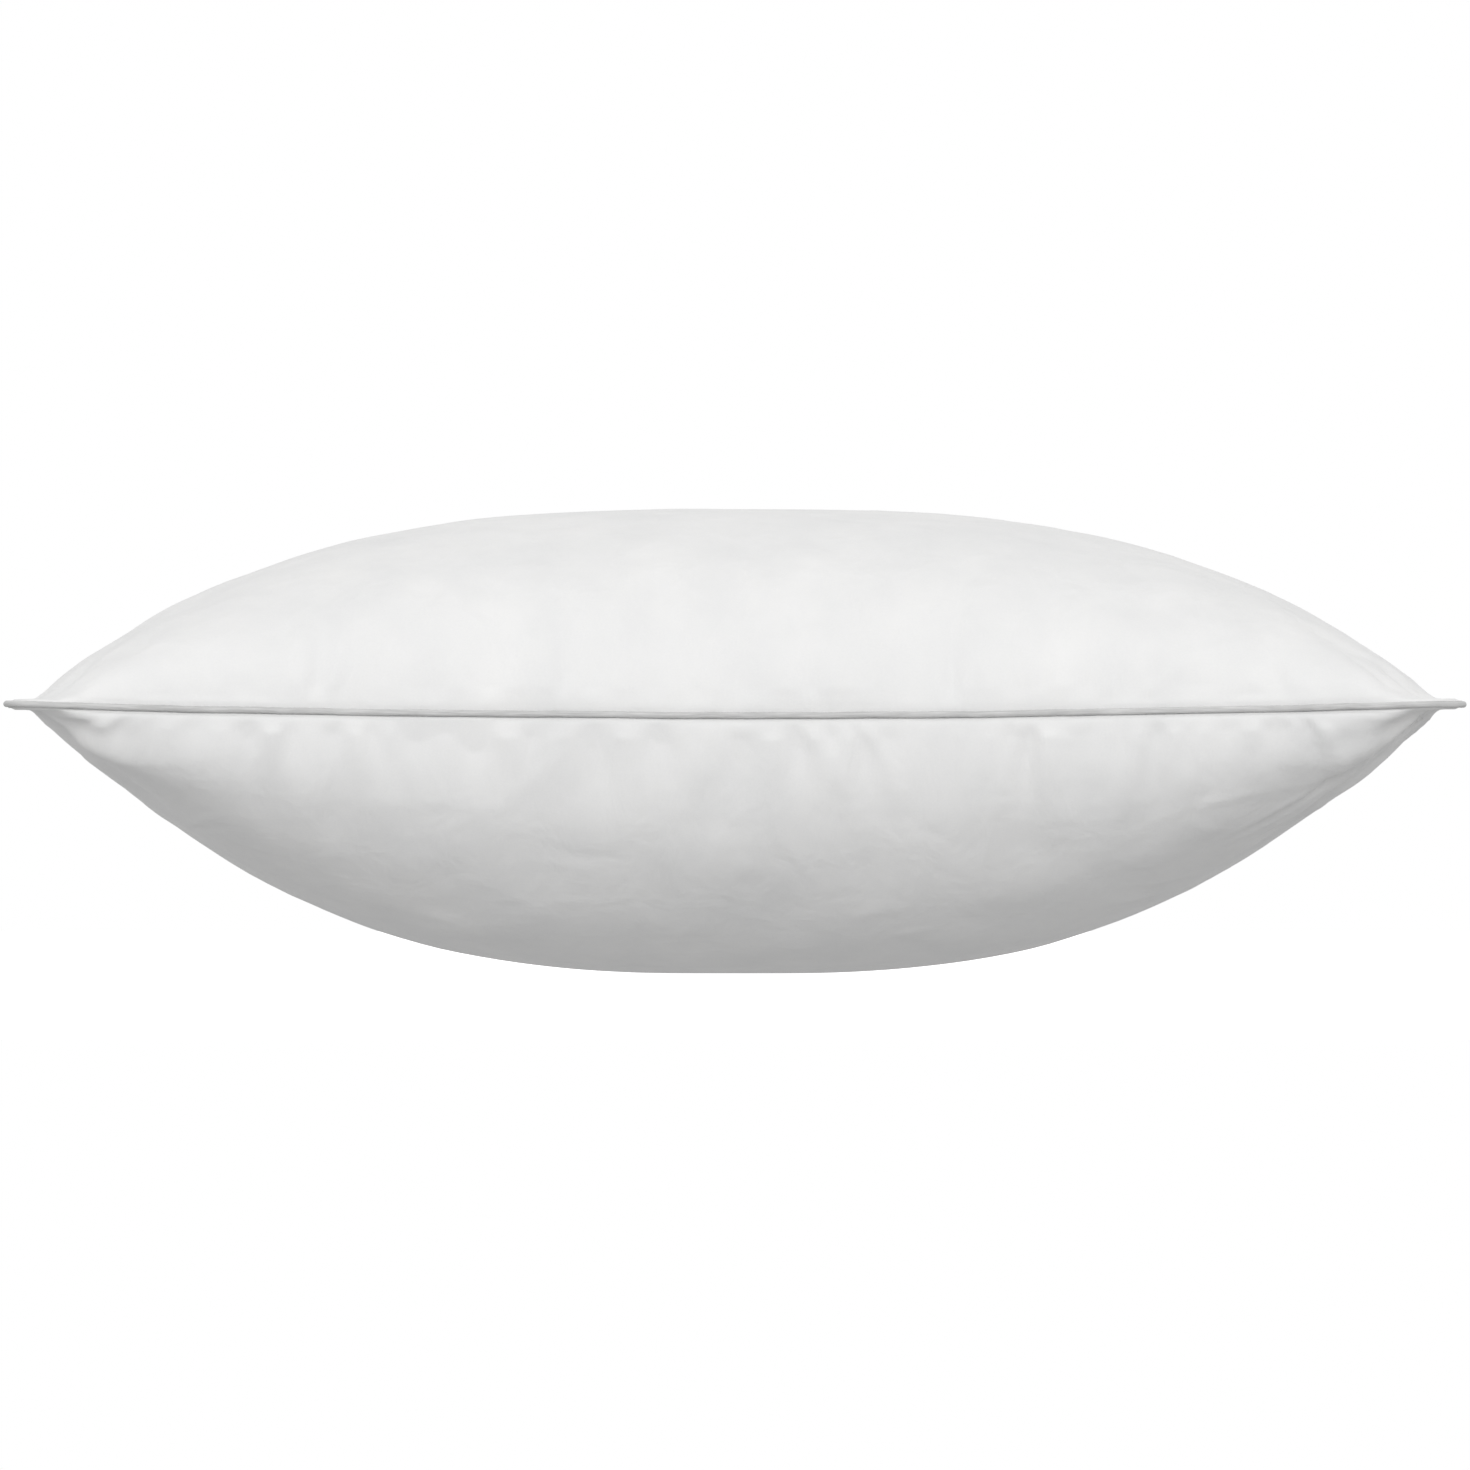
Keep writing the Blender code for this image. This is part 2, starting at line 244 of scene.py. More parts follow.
# ---- helpers ----
def setInputs(tree, node, inputs):
    for key, value in inputs.items():
        if isinstance(value, bpy.types.NodeSocket):
            tree.links.new(value, node.inputs[key])
        else:
            node.inputs[key].default_value = value


def nodeMakers(tree):
    # three short cuts for one tree: any node, a sum and a noise, each giving an output of the new node
    families = ("GeometryNode", "ShaderNode", "FunctionNode") if tree.bl_idname == "GeometryNodeTree" else ("ShaderNode",)

    def put(kind, inputs=None, out=0, **settings):
        node = tree.nodes.new([family + kind for family in families if hasattr(bpy.types, family + kind)][0])
        for name, value in settings.items():
            setattr(node, name, value)
        setInputs(tree, node, inputs or {})
        return node if out is None else node.outputs[out]

    def maths(operation, *values):
        return put("Math", dict(enumerate(values)), operation=operation)

    def noise(vector, scale, detail, more=None, **settings):
        return put("TexNoise", {"Vector": vector, "Scale": scale, "Detail": detail, **(more or {})}, **settings)

    return put, maths, noise


def meshObject(name, points, faces, uvs=None):
    mesh = bpy.data.meshes.new(name)
    mesh.from_pydata(np.asarray(points).tolist(), [], faces)
    if uvs is not None:
        corners = np.empty(len(mesh.loops), dtype=np.int32)
        mesh.loops.foreach_get("vertex_index", corners)
        mesh.uv_layers.new(name="UVMap").data.foreach_set("uv", np.asarray(uvs)[corners].astype(np.float32).ravel())
    mesh.shade_smooth()
    piece = bpy.data.objects.new(name, mesh)
    scene.collection.objects.link(piece)
    return piece


def finer(grid, places, axis):
    # cubic interpolation of a grid at fractional rows or columns
    grid = np.moveaxis(grid, axis, 0)
    padded = np.concatenate([[2 * grid[0] - grid[1]], grid, [2 * grid[-1] - grid[-2]]])
    whole = np.minimum(places.astype(int), len(grid) - 2)
    t = (places - whole).reshape((-1,) + (1,) * (grid.ndim - 1))
    before, first, second, after = [padded[whole + k] for k in range(4)]
    result = first + 0.5 * t * (second - before + t * (2 * before - 5 * first + 4 * second - after
                                + t * (3 * (first - second) + after - before)))
    return np.moveaxis(result, 0, axis)


def smoothed(grid, cells):
    # repeated neighbour averages, edges held
    weights = np.array([1, 4, 6, 4, 1]) / 16
    for step in range(max(1, int(cells * cells))):
        for axis in (0, 1):
            held = np.pad(grid, [(2, 2) if k == axis else (0, 0) for k in range(grid.ndim)], mode="edge")
            grid = sum(w * np.take(held, np.arange(k, k + grid.shape[axis]), axis=axis) for k, w in enumerate(weights))
    return grid


def surfaceNormals(grid, side):
    normals = np.cross(np.gradient(grid, axis=1), np.gradient(grid, axis=0)) * side
    return normals / np.maximum(np.linalg.norm(normals, axis=-1, keepdims=True), 1e-12)


def rimLoop(rows, columns):
    # positions of the edge of a grid, once round, counterclockwise from above
    ahead = [(0, i) for i in range(columns - 1)] + [(j, columns - 1) for j in range(rows - 1)]
    return np.array(ahead + [(rows - 1 - j, columns - 1 - i) for j, i in ahead])


# ---- the sewn outline, once round ----
def seamLoop(steps, outset=0.0):
    # evenly spaced points of the seam line or a line outside it, from the far long side's middle
    q = np.linspace(-1, 1, 2001)
    sides = []
    for axis, sign in ((1, 1), (0, -1), (1, -1), (0, 1)):
        out, sideways = seamSide(axis, q, outset)
        if axis == 1:
            line = np.stack([-sign * sideways, sign * out], axis=-1)
        else:
            line = np.stack([sign * out, sign * sideways], axis=-1)
        sides.append(line[:-1])
    line = np.roll(np.concatenate(sides), -1000, axis=0)
    closed = np.vstack([line, line[:1]])
    length = runLengths(closed)
    laps = np.arange(steps) / steps
    plan = np.stack([np.interp(laps * length[-1], length, closed[:, k]) for k in (0, 1)], axis=-1)
    return plan, laps, length[-1]


# ---- the casing's two panels ----
panelCloth = {
    "frames": 40,
    "pressure": 4.0,
    "hold": 0.12,  # how firmly the filling keeps the cloth to its shape
    "keepSlow": 0.15,  # share kept of swells wider than swellCells
    "swellCells": 4,
    "cap": 0.005,  # the most the cloth moves from its smooth shape
    "allowance": 0.010,
    "allowanceLift": (0.00085, 0.00125),  # its two faces, from the seam plane
    "seamGap": 0.0015,  # clear of the seam's threads at the rim
    "seamRise": 0.0012,  # and as much more just inside it
    "groundGap": 0.0002,
    "groundSoft": 0.0003,
    "calmHeight": 0.014,  # below this the ground keeps the cloth smooth
    "calmEnd": 0.09,  # shares of the half length and half width kept calm
    "calmSide": 0.06,
    "rimCells": 4,  # cells beside the rim that are cut in four, not in two
}
puckers = {
    "seed": 11,
    "perMetre": (40, 62),  # top panel, bottom panel
    "share": (0.7, 1.2),  # how deep they are on each
    "depth": (0.0011, 0.0026),
    "width": (0.0024, 0.0062),
    "length": (0.010, 0.075),
    "slant": 0.22,
    "rise": 0.012,  # full depth this far from the seam
}
lumps = {
    "seed": 31,
    "count": 420,
    "height": 0.0016,
    "radius": (0.008, 0.026),
}
crinkles = {
    "seed": 5,
    "count": 260,
    "depth": 0.0007,
    "length": (0.012, 0.05),
    "width": (0.0025, 0.006),
}
# long soft folds, as flat-cut positions from a panel's middle: start, end, depth, half width
folds = {
    "top": [
        ((0.366, -0.240), (0.325, -0.196), 0.0016, 0.0050),
        ((0.330, -0.226), (0.285, -0.170), 0.0010, 0.0060),
        ((-0.366, -0.240), (-0.325, -0.194), 0.0018, 0.0050),
        ((-0.352, -0.215), (-0.300, -0.150), 0.0010, 0.0070),
        ((0.366, 0.240), (0.310, 0.190), 0.0020, 0.0050),
        ((-0.366, 0.240), (-0.305, 0.182), 0.0020, 0.0055),
    ],
    "bottom": [
        ((0.366, -0.250), (0.300, -0.226), -0.0026, 0.0085),
        ((0.390, -0.268), (0.342, -0.228), 0.0056, 0.0020),
        ((0.348, -0.232), (0.300, -0.200), 0.0034, 0.0050),
        ((0.322, -0.214), (0.248, -0.168), 0.0024, 0.0030),
        ((0.338, -0.210), (0.268, -0.140), 0.0036, 0.0050),
        ((0.310, -0.160), (0.250, -0.110), 0.0020, 0.0045),
        ((-0.366, -0.250), (-0.300, -0.226), -0.0026, 0.0085),
        ((-0.390, -0.268), (-0.356, -0.237), 0.0052, 0.0022),
        ((-0.352, -0.226), (-0.296, -0.160), 0.0016, 0.0090),
        ((0.384, 0.264), (0.330, 0.215), 0.0036, 0.0040),
        ((0.340, 0.222), (0.280, 0.150), 0.0020, 0.0070),
        ((-0.384, 0.264), (-0.336, 0.220), 0.0034, 0.0040),
        ((-0.345, 0.215), (-0.285, 0.165), 0.0020, 0.0060),
    ],
}


def gridFaces(index, flip=False):
    quads = np.stack([index[:-1, :-1], index[:-1, 1:], index[1:, 1:], index[1:, :-1]], axis=-1).reshape(-1, 4)
    return (quads[:, ::-1] if flip else quads).tolist()


def ringFaces(first, second):
    # faces between two closed rings of points
    return np.stack([first, second, np.roll(second, -1), np.roll(first, -1)], axis=-1)


def groove(x, y, start, end, depth, width):
    # a soft valley with a low ridge on each side, fading out at its ends
    way = np.array(end) - np.array(start)
    length = np.linalg.norm(way)
    way = way / length
    along = ((x - start[0]) * way[0] + (y - start[1]) * way[1]) / length
    across = (y - start[1]) * way[0] - (x - start[0]) * way[1]
    across = across + 0.12 * width * np.sin(along * 7 + start[0] * 90)
    taper = eased(np.clip(along * 4 + 1, 0, 1) * np.clip((1 - along) * 2.5, 0, 1))
    wide = width * (0.7 + 0.6 * np.clip(along, 0, 1))
    valley = np.exp(-(across / wide) ** 2)
    ridges = np.exp(-((np.abs(across) - 1.9 * wide) / wide) ** 2)
    return depth * taper * (0.35 * ridges - valley)


def sewnDetail(x, y, size, side):
    # height above the smooth cloth, for flat-cut positions x, y
    height = np.zeros_like(x)
    perMetre, share = [puckers[key][0 if side > 0 else 1] for key in ("perMetre", "share")]
    shortest, longest = puckers["length"]
    random = np.random.default_rng(puckers["seed"] + side)
    for axis in (0, 1):
        for end in (-1, 1):
            flat, other = (x, y) if axis == 0 else (y, x)
            inset = size[1 - axis] / 2 - end * other
            number = int(size[axis] * perMetre)
            places = (np.arange(number) + random.uniform(-0.4, 0.4, number)) / number * size[axis] - size[axis] / 2
            depths = random.uniform(*puckers["depth"], number) * random.choice([0.4, 0.8, 1.3], number)
            depths *= share * (1 - 0.8 * (np.abs(places) * 2 / size[axis]) ** 12)
            widths = random.uniform(*puckers["width"], number)
            lengths = shortest + (longest - shortest) * random.random(number) ** 1.7
            slants = random.normal(0, puckers["slant"], number)
            rise = np.clip(inset / puckers["rise"], 0, 1) ** 2
            for place, depth, width, length, slant in zip(places, depths, widths, lengths, slants):
                across = flat - place - slant * inset
                near = np.abs(across) < 6 * width
                spread = width * (1 + 1.2 * np.clip(inset / length, 0, 3))
                ridges = np.exp(-((np.abs(across) - 2 * spread) / spread) ** 2)
                shape = np.exp(-(across / spread) ** 2) - 0.45 * ridges
                fade = rise * np.exp(-(np.maximum(inset, 0) / length) ** 1.4)
                height -= np.where(near, depth * shape * fade, 0)
    random = np.random.default_rng(lumps["seed"] + side)
    for k in range(lumps["count"]):
        place = random.uniform(-0.5, 0.5, 2) * np.array(size)
        radius = random.uniform(*lumps["radius"])
        away = ((x - place[0]) ** 2 + (y - place[1]) ** 2) / radius ** 2
        height += lumps["height"] * random.uniform(-1, 1) * radius / lumps["radius"][1] * np.exp(-away)
    fromSides = np.stack([size[0] / 2 - np.abs(x), size[1] / 2 - np.abs(y)])
    nearest = fromSides.min(axis=0)
    height *= np.where(height > 0, np.clip(nearest / 0.012, 0, 1), 1)
    random = np.random.default_rng(crinkles["seed"] + side)
    for k in range(crinkles["count"]):
        place = random.uniform(-0.5, 0.5, 2) * np.array(size) * 0.96
        angle, length = random.uniform(0, math.pi), random.uniform(*crinkles["length"])
        width, depth = random.uniform(*crinkles["width"]), crinkles["depth"] * random.uniform(-1, 1)
        across = (y - place[1]) * math.cos(angle) - (x - place[0]) * math.sin(angle)
        along = (y - place[1]) * math.sin(angle) + (x - place[0]) * math.cos(angle)
        across = across + 0.15 * along ** 2 / length
        height += depth * np.exp(-(across / width) ** 2 - (along / length * 1.6) ** 2)
    height = np.maximum(height, -0.0002 - 0.12 * nearest)  # the seam holds the cloth out
    for start, end, depth, width in folds["top" if side > 0 else "bottom"]:
        height += groove(x, y, start, end, depth, width)
    fromCorner = np.clip((np.hypot(*fromSides) - 0.012) / 0.024, 0, 1)
    return height * fromCorner * np.clip(nearest / 0.006, 0, 1)


def simulateCasing(shapes, sizes):
    # both panels, sewn down at the rim, puffed out by the filling
    points, rest, faces, hold = [], [], [], []
    for shape, size in zip(shapes, sizes):
        rows, columns = shape.shape[:2]
        base = len(points)
        a = np.linspace(-0.5, 0.5, columns) * size[0]
        b = np.linspace(-0.5, 0.5, rows) * size[1]
        points.extend(shape.reshape(-1, 3).tolist())
        flatA, flatB = np.meshgrid(a, b)
        rest.extend(np.stack([flatA.ravel(), flatB.ravel(), np.zeros(flatA.size)], axis=-1).tolist())
        edge = np.zeros((rows, columns), bool)
        edge[0], edge[-1], edge[:, 0], edge[:, -1] = True, True, True, True
        hold.extend(np.where(edge.ravel(), 1.0, panelCloth["hold"]).tolist())
        faces.extend(gridFaces(base + np.arange(rows * columns).reshape(rows, columns), base > 0))
    cloth = meshObject("casing_cloth", points, faces)
    group = cloth.vertex_groups.new(name="hold")
    for weight in sorted(set(hold)):
        group.add([k for k, w in enumerate(hold) if w == weight], weight, "REPLACE")
    cloth.shape_key_add(name="Basis")
    flat = cloth.shape_key_add(name="flat")
    flat.data.foreach_set("co", np.array(rest, dtype=np.float32).ravel())
    modifier = cloth.modifiers.new("cloth", "CLOTH")
    settings = modifier.settings
    settings.quality = 5
    settings.mass = 0.0009
    settings.tension_stiffness, settings.compression_stiffness = 40, 8
    settings.shear_stiffness, settings.bending_stiffness = 10, 0.03
    settings.tension_damping = settings.compression_damping = settings.shear_damping = 5
    settings.bending_damping, settings.air_damping = 0.5, 5
    settings.use_pressure, settings.uniform_pressure_force = True, panelCloth["pressure"]
    settings.vertex_group_mass, settings.pin_stiffness = "hold", 1.0
    settings.rest_shape_key = flat
    settings.effector_weights.gravity = 0
    modifier.collision_settings.use_collision = False
    modifier.collision_settings.use_self_collision = False
    modifier.point_cache.frame_end = panelCloth["frames"]
    for step in range(1, panelCloth["frames"] + 1):
        scene.frame_set(step)
    settled = cloth.evaluated_get(bpy.context.evaluated_depsgraph_get()).to_mesh()
    result = np.empty(len(settled.vertices) * 3, dtype=np.float32)
    settled.vertices.foreach_get("co", result)
    scene.frame_set(1)
    mesh = cloth.data
    bpy.data.objects.remove(cloth)
    bpy.data.meshes.remove(mesh)
    count = shapes[0].shape[0] * shapes[0].shape[1]
    result = result.reshape(-1, 3).astype(float)
    return [result[:count].reshape(shapes[0].shape), result[count:].reshape(shapes[1].shape)]


def panelMesh(name, outer, flat, side):
    # closed shell: outer face, inner face, and the allowance turned in at the rim
    rows, columns = outer.shape[:2]
    edge = rimLoop(rows, columns)
    rim, rimFlat = outer[edge[:, 0], edge[:, 1]], flat[edge[:, 0], edge[:, 1]]
    tangent = np.roll(rim, -1, axis=0) - np.roll(rim, 1, axis=0)
    inwards = unit(np.stack([-tangent[:, 1], tangent[:, 0]], axis=-1))
    level = seamHeight(rim[:, 0], rim[:, 1])
    inner = outer - surfaceNormals(outer, side) * casing["cloth"]
    tuckedRim = np.column_stack([rim[:, :2] + inwards * 0.0006, level + side * 0.0017])
    inner[edge[:, 0], edge[:, 1]] = tuckedRim
    index = np.arange(rows * columns).reshape(rows, columns)
    points, uvs = [outer.reshape(-1, 3)], [flat.reshape(-1, 2)]
    faces = gridFaces(index, side < 0)
    rings = [index[edge[:, 0], edge[:, 1]]]
    base = rows * columns
    deep, (low, high) = panelCloth["allowance"], panelCloth["allowanceLift"]
    for inset, lift in ((-0.0001, 0.0011), (0.0003, low), (deep / 2, low), (deep, low),
                        (deep, high), (deep / 2, high), (0.0007, high)):
        rings.append(base + np.arange(len(rim)))
        points.append(np.column_stack([rim[:, :2] + inwards * inset, level + side * lift]))
        uvs.append(rimFlat * (1 + inset / 0.3))
        base += len(rim)
    points.append(inner.reshape(-1, 3))
    uvs.append(flat.reshape(-1, 2))
    faces += gridFaces(base + index, side > 0)
    rings.append(base + index[edge[:, 0], edge[:, 1]])
    for first, second in zip(rings, rings[1:]):
        faces += ringFaces(first, second)[:, ::side].tolist()
    return meshObject(name, np.concatenate(points), faces, np.concatenate(uvs))


labelRoom = {
    "swing": 8,  # degrees the label may fall in towards the cloth
    "gap": 0.0012,
    "half": 0.021,  # half the width kept clear
    "drop": 0.046,
    "fade": 0.016,
}


def labelHinge():
    # the hinge's place and axis, the way out from the pillow and the way down the label
    hinge = [joint for joint in frame["joints"] if joint["name"] == "label_swing"][0]
    axis = Vector(hinge["axis"]).normalized()
    outwards = Vector((0, 0, -1)).cross(axis)
    outwards = outwards if outwards.y > 0 else -outwards
    down = axis.cross(outwards).normalized()
    return Vector(hinge["pos_m"]), axis, outwards, down if down.z < 0 else -down


def behindLabel(grid, more=0.0):
    # the cloth stays behind the care label, however far in it hangs
    top, axis, outwards, down = [np.array(vector) for vector in labelHinge()]
    swing = math.radians(labelRoom["swing"])
    facing = unit(outwards) * math.cos(swing) + down * math.sin(swing)
    away = grid - top
    past = np.maximum(np.abs(away @ axis) - labelRoom["half"], 0) + np.maximum(away @ down - labelRoom["drop"], 0)
    share = eased(np.clip(1 - past / labelRoom["fade"], 0, 1)) * (away @ outwards > -0.06)
    push = np.maximum(away @ facing + labelRoom["gap"] + more, 0) * share
    return grid - facing * push[..., None]


say("shaping the casing")
panelSides = {"top_panel_cloth": 1, "bottom_panel_cloth": -1}
squares = [evenSquare(side) for side in panelSides.values()]
shapes = [filledSurface(u, v, side) for (u, v, size), side in zip(squares, panelSides.values())]
cutSizes = [[length * casing["ease"] for length in size] for u, v, size in squares]
say("puffing out the cloth")
settled = simulateCasing(shapes, cutSizes)

panels, panelGrids = {}, {}
for (name, side), (u, v, size), shape, cloth, cut in zip(panelSides.items(), squares, shapes, settled, cutSizes):
    moved = cloth - shape
    slow = smoothed(moved, panelCloth["swellCells"])
    depth = np.minimum(1 - np.abs(u), 1 - np.abs(v)) * 40
    moved = moved - (1 - panelCloth["keepSlow"]) * slow * np.clip(depth, 0, 1)[..., None]
    far = np.linalg.norm(moved, axis=-1, keepdims=True)
    moved *= np.tanh(far / panelCloth["cap"]) * panelCloth["cap"] / np.maximum(far, 1e-9)
    places = []
    quarter = np.concatenate([np.arange(0, 0.5, 0.125), np.arange(0.5, panelCloth["rimCells"], 0.25)])
    for cells in (casing["cellsShort"], casing["cellsLong"]):
        halves = np.arange(quarter[-1] + 0.25, cells - panelCloth["rimCells"] + 0.1, 0.5)
        places.append(np.concatenate([quarter, halves, cells - quarter[::-1]]))
    uFine, vFine = [finer(finer(grid, places[0], 0), places[1], 1) for grid in (u, v)]
    edgeValue = np.clip(np.stack([uFine, vFine]), -1, 1)
    edgeValue[0][:, 0], edgeValue[0][:, -1], edgeValue[1][0], edgeValue[1][-1] = -1, 1, -1, 1
    fine = filledSurface(edgeValue[0], edgeValue[1], side)
    normals = surfaceNormals(fine, side)
    # the ground and the seamed ends keep the cloth smooth
    calm = np.clip(fine[..., 2] / panelCloth["calmHeight"], 0.1, 1)
    calm *= np.clip(np.minimum((1 - np.abs(edgeValue[0])) / panelCloth["calmEnd"],
                               (1 - np.abs(edgeValue[1])) / panelCloth["calmSide"]), 0, 1)
    fine = fine + finer(finer(moved, places[0], 0), places[1], 1) * calm[..., None]
    flatX = (places[1] / casing["cellsLong"] - 0.5) * cut[0]
    flatY = (places[0] / casing["cellsShort"] - 0.5) * cut[1]
    flat = np.stack(np.meshgrid(flatX, flatY), axis=-1)
    detail = sewnDetail(flat[..., 0], flat[..., 1], cut, side)
    loose = eased(np.clip((np.abs(flat[..., 1]) / cut[1] * 2 - 0.08) / 0.4, 0, 1))  # the crown is drawn smooth
    detail = detail * (0.35 + 0.65 * loose) * np.clip(fine[..., 2] / panelCloth["calmHeight"], 0.1, 1)
    fine = fine + normals * detail[..., None]
    # clear of the seam's threads and of the ground
    gap = side * (fine[..., 2] - seamHeight(fine[..., 0], fine[..., 1]))
    unrolled, rolled = [filledSurface(edgeValue[0], edgeValue[1], side, rolls) for rolls in (0, 1)]
    hanging = np.linalg.norm(unrolled - rolled, axis=-1)
    inset = np.minimum(1 - np.abs(edgeValue[0]), 1 - np.abs(edgeValue[1])) * 0.24 - hanging
    least = panelCloth["seamGap"] + np.clip(inset / panelCloth["seamGap"], 0, 1) * panelCloth["seamRise"]
    fine[..., 2] += side * np.maximum(least - gap, 0)
    ground, soft = panelCloth["groundGap"], panelCloth["groundSoft"]
    fine[..., 2] = ground + np.logaddexp(0, (fine[..., 2] - ground) / soft) * soft
    fine = behindLabel(fine) if side < 0 else fine
    panelGrids[side] = fine
    panels[name] = panelMesh(name, fine, flat, side)

# ---- fibre filling, a lens inside the casing ----
filling = {
    "columns": 110,
    "rows": 74,
    "inside": 0.0022,  # clearance to the cloth
    "setback": 0.0125,  # rim of the lens behind the seam line
    "lump": 0.0012,
    "tufts": 70,
    "tuftWidth": (0.04, 0.12),
    "lowest": 0.0012,
    "rimHalf": 0.0011,
    "seed": 3,
}
say("stuffing the fill")
fillU, fillV = np.meshgrid(np.linspace(-1, 1, filling["columns"] + 1), np.linspace(-1, 1, filling["rows"] + 1))
lensScale = 1 - filling["setback"] / tips[1]
lensLayers = []
for side in (1, -1):
    squareU, squareV = np.sin(fillU * math.pi / 2), np.sin(fillV * math.pi / 2)
    layer = filledSurface(squareU * lensScale, squareV * lensScale, side)
    shrink = surfaceNormals(layer, side) * (filling["inside"] + filling["lump"])
    random = np.random.default_rng(filling["seed"] + side)
    lumps = np.zeros_like(squareU)
    for k in range(filling["tufts"]):
        x, y = random.uniform(-1, 1, 2)
        wide = random.uniform(*filling["tuftWidth"])
        lumps += random.uniform(-1, 1) * np.exp(-((squareU - x) ** 2 * 2.3 + (squareV - y) ** 2) / wide ** 2)
    layer = layer - shrink + surfaceNormals(layer, side) * (filling["lump"] * np.tanh(lumps))[..., None]
    layer[..., 2] = np.maximum(layer[..., 2], filling["lowest"])
    layer = behindLabel(layer, 0.0012) if side < 0 else layer
    lensLayers.append(layer)
rimSlots = rimLoop(*fillU.shape)
middle = (lensLayers[0] + lensLayers[1]) / 2
for side, layer in zip((1, -1), lensLayers):
    layer[rimSlots[:, 0], rimSlots[:, 1]] = middle[rimSlots[:, 0], rimSlots[:, 1]] + [0, 0, side * filling["rimHalf"]]
fillIndex = np.arange(fillU.size).reshape(fillU.shape)
topRim = fillIndex[rimSlots[:, 0], rimSlots[:, 1]]
bottomRim = topRim + fillU.size
fillFaces = gridFaces(fillIndex) + gridFaces(fillIndex + fillU.size, True)
fillFaces += ringFaces(topRim, bottomRim)[:, [1, 2, 3, 0]].tolist()
fillPiece = meshObject("fibre_fill", np.concatenate([layer.reshape(-1, 3) for layer in lensLayers]), fillFaces)


# ---- nodes that follow a path ----
def newTree(name, numbers):
    # a geometry tree whose inputs are the numbers named, and the socket identifiers of those inputs
    tree = bpy.data.node_groups.new(name, "GeometryNodeTree")
    tree.interface.new_socket("Geometry", in_out="INPUT", socket_type="NodeSocketGeometry")
    tree.interface.new_socket("Geometry", in_out="OUTPUT", socket_type="NodeSocketGeometry")
    for label, value in numbers.items():
        kind = {int: "NodeSocketInt", float: "NodeSocketFloat"}.get(type(value), "NodeSocketObject")
        kind = "NodeSocketMaterial" if label == "Material" else kind
        tree.interface.new_socket(label, in_out="INPUT", socket_type=kind)
    return tree, tree.nodes.new("NodeGroupInput").outputs, tree.nodes.new("NodeGroupOutput")


def grow(name, path, tree, numbers):
    # runs the tree on the path and returns its result as a plain mesh object
    carrier = bpy.data.objects.new(name + "_path", path)
    scene.collection.objects.link(carrier)
    modifier = carrier.modifiers.new(name, "NODES")
    modifier.node_group = tree
    for item in tree.interface.items_tree:
        if item.in_out == "INPUT" and item.name in numbers:
            modifier[item.identifier] = numbers[item.name]
    grown = bpy.data.meshes.new_from_object(carrier.evaluated_get(bpy.context.evaluated_depsgraph_get()))
    grown.name = name
    carrier.modifiers.remove(modifier)
    bpy.data.objects.remove(carrier)
    piece = bpy.data.objects.new(name, grown)
    scene.collection.objects.link(piece)
    return piece


def pathMesh(name, points, closed=False, facing=None, edges=None):
    mesh = bpy.data.meshes.new(name)
    count = len(points)
    if edges is None:
        edges = [(k, (k + 1) % count) for k in range(count if closed else count - 1)]
    mesh.from_pydata(np.asarray(points).tolist(), edges, [])
    if facing is not None:
        facing = np.asarray(facing, dtype=np.float32).ravel()
        mesh.attributes.new("facing", "FLOAT_VECTOR", "POINT").data.foreach_set("vector", facing)
    return mesh


def swept(tree, given, twisted=False):
    # the profile run along the path, and each point's distance along the one and around the other
    put, maths, noise = nodeMakers(tree)
    path = put("SetCurveNormal", {"Curve": put("MeshToCurve", {"Mesh": given["Geometry"]})}, mode="Z_UP")
    if twisted:
        turned = maths("MULTIPLY", put("SplineParameter", out="Factor"), given["Turns"])
        path = put("SetCurveTilt", {"Curve": path, "Tilt": maths("MULTIPLY", turned, 2 * math.pi)})
    outline = put("MeshToCurve", {"Mesh": put("ObjectInfo", {"Object": given["Profile"]}, "Geometry")})
    marked, measures = [], []
    for line, name in ((path, "along"), (outline, "around")):
        marks = {"Geometry": line, "Name": name, "Value": put("SplineParameter", out="Length")}
        marked.append(put("StoreNamedAttribute", marks, data_type="FLOAT", domain="POINT"))
        measures.append(put("InputNamedAttribute", {"Name": name}, data_type="FLOAT"))
    return put("CurveToMesh", {"Curve": marked[0], "Profile Curve": marked[1]}), measures[0], measures[1]


def unrolledUv(put, geometry, along, around):
    uv = {"Geometry": geometry, "Name": "UVMap", "Value": put("CombineXYZ", {"X": along, "Y": around})}
    return put("StoreNamedAttribute", uv, data_type="FLOAT2", domain="CORNER")


def endTree(tree, given, result, geometry):
    put = nodeMakers(tree)[0]
    real = put("RealizeInstances", {"Geometry": geometry})
    setInputs(tree, result, {0: put("SetMaterial", {"Geometry": real, "Material": given["Material"]})})
    return tree


def outwardFaces(piece):
    shape = bmesh.new()
    shape.from_mesh(piece.data)
    bmesh.ops.remove_doubles(shape, verts=shape.verts, dist=1e-7)
    bmesh.ops.recalc_face_normals(shape, faces=shape.faces)
    shape.to_mesh(piece.data)
    shape.free()
    piece.data.shade_smooth()


# ---- piping: a bias sleeve over a twisted cord ----
piping = {
    "steps": 2600,
    "sleeveRadius": 0.0016,
    "fabric": 0.0004,
    "tail": 0.0100,
    "tailLow": 0.00015,
    "pucker": 0.00013,
    "puckerSpacing": 0.0042,
    "bias": 0.9,  # slant of the puckers round the cord
    "joinAt": 0.13,  # share of the way round, on the far side
    "joinLength": 0.012,
    "joinSwell": 0.00025,
    "cordRadius": 0.0009,
    "cordLay": 0.0075,
    "seed": 7.0,
}


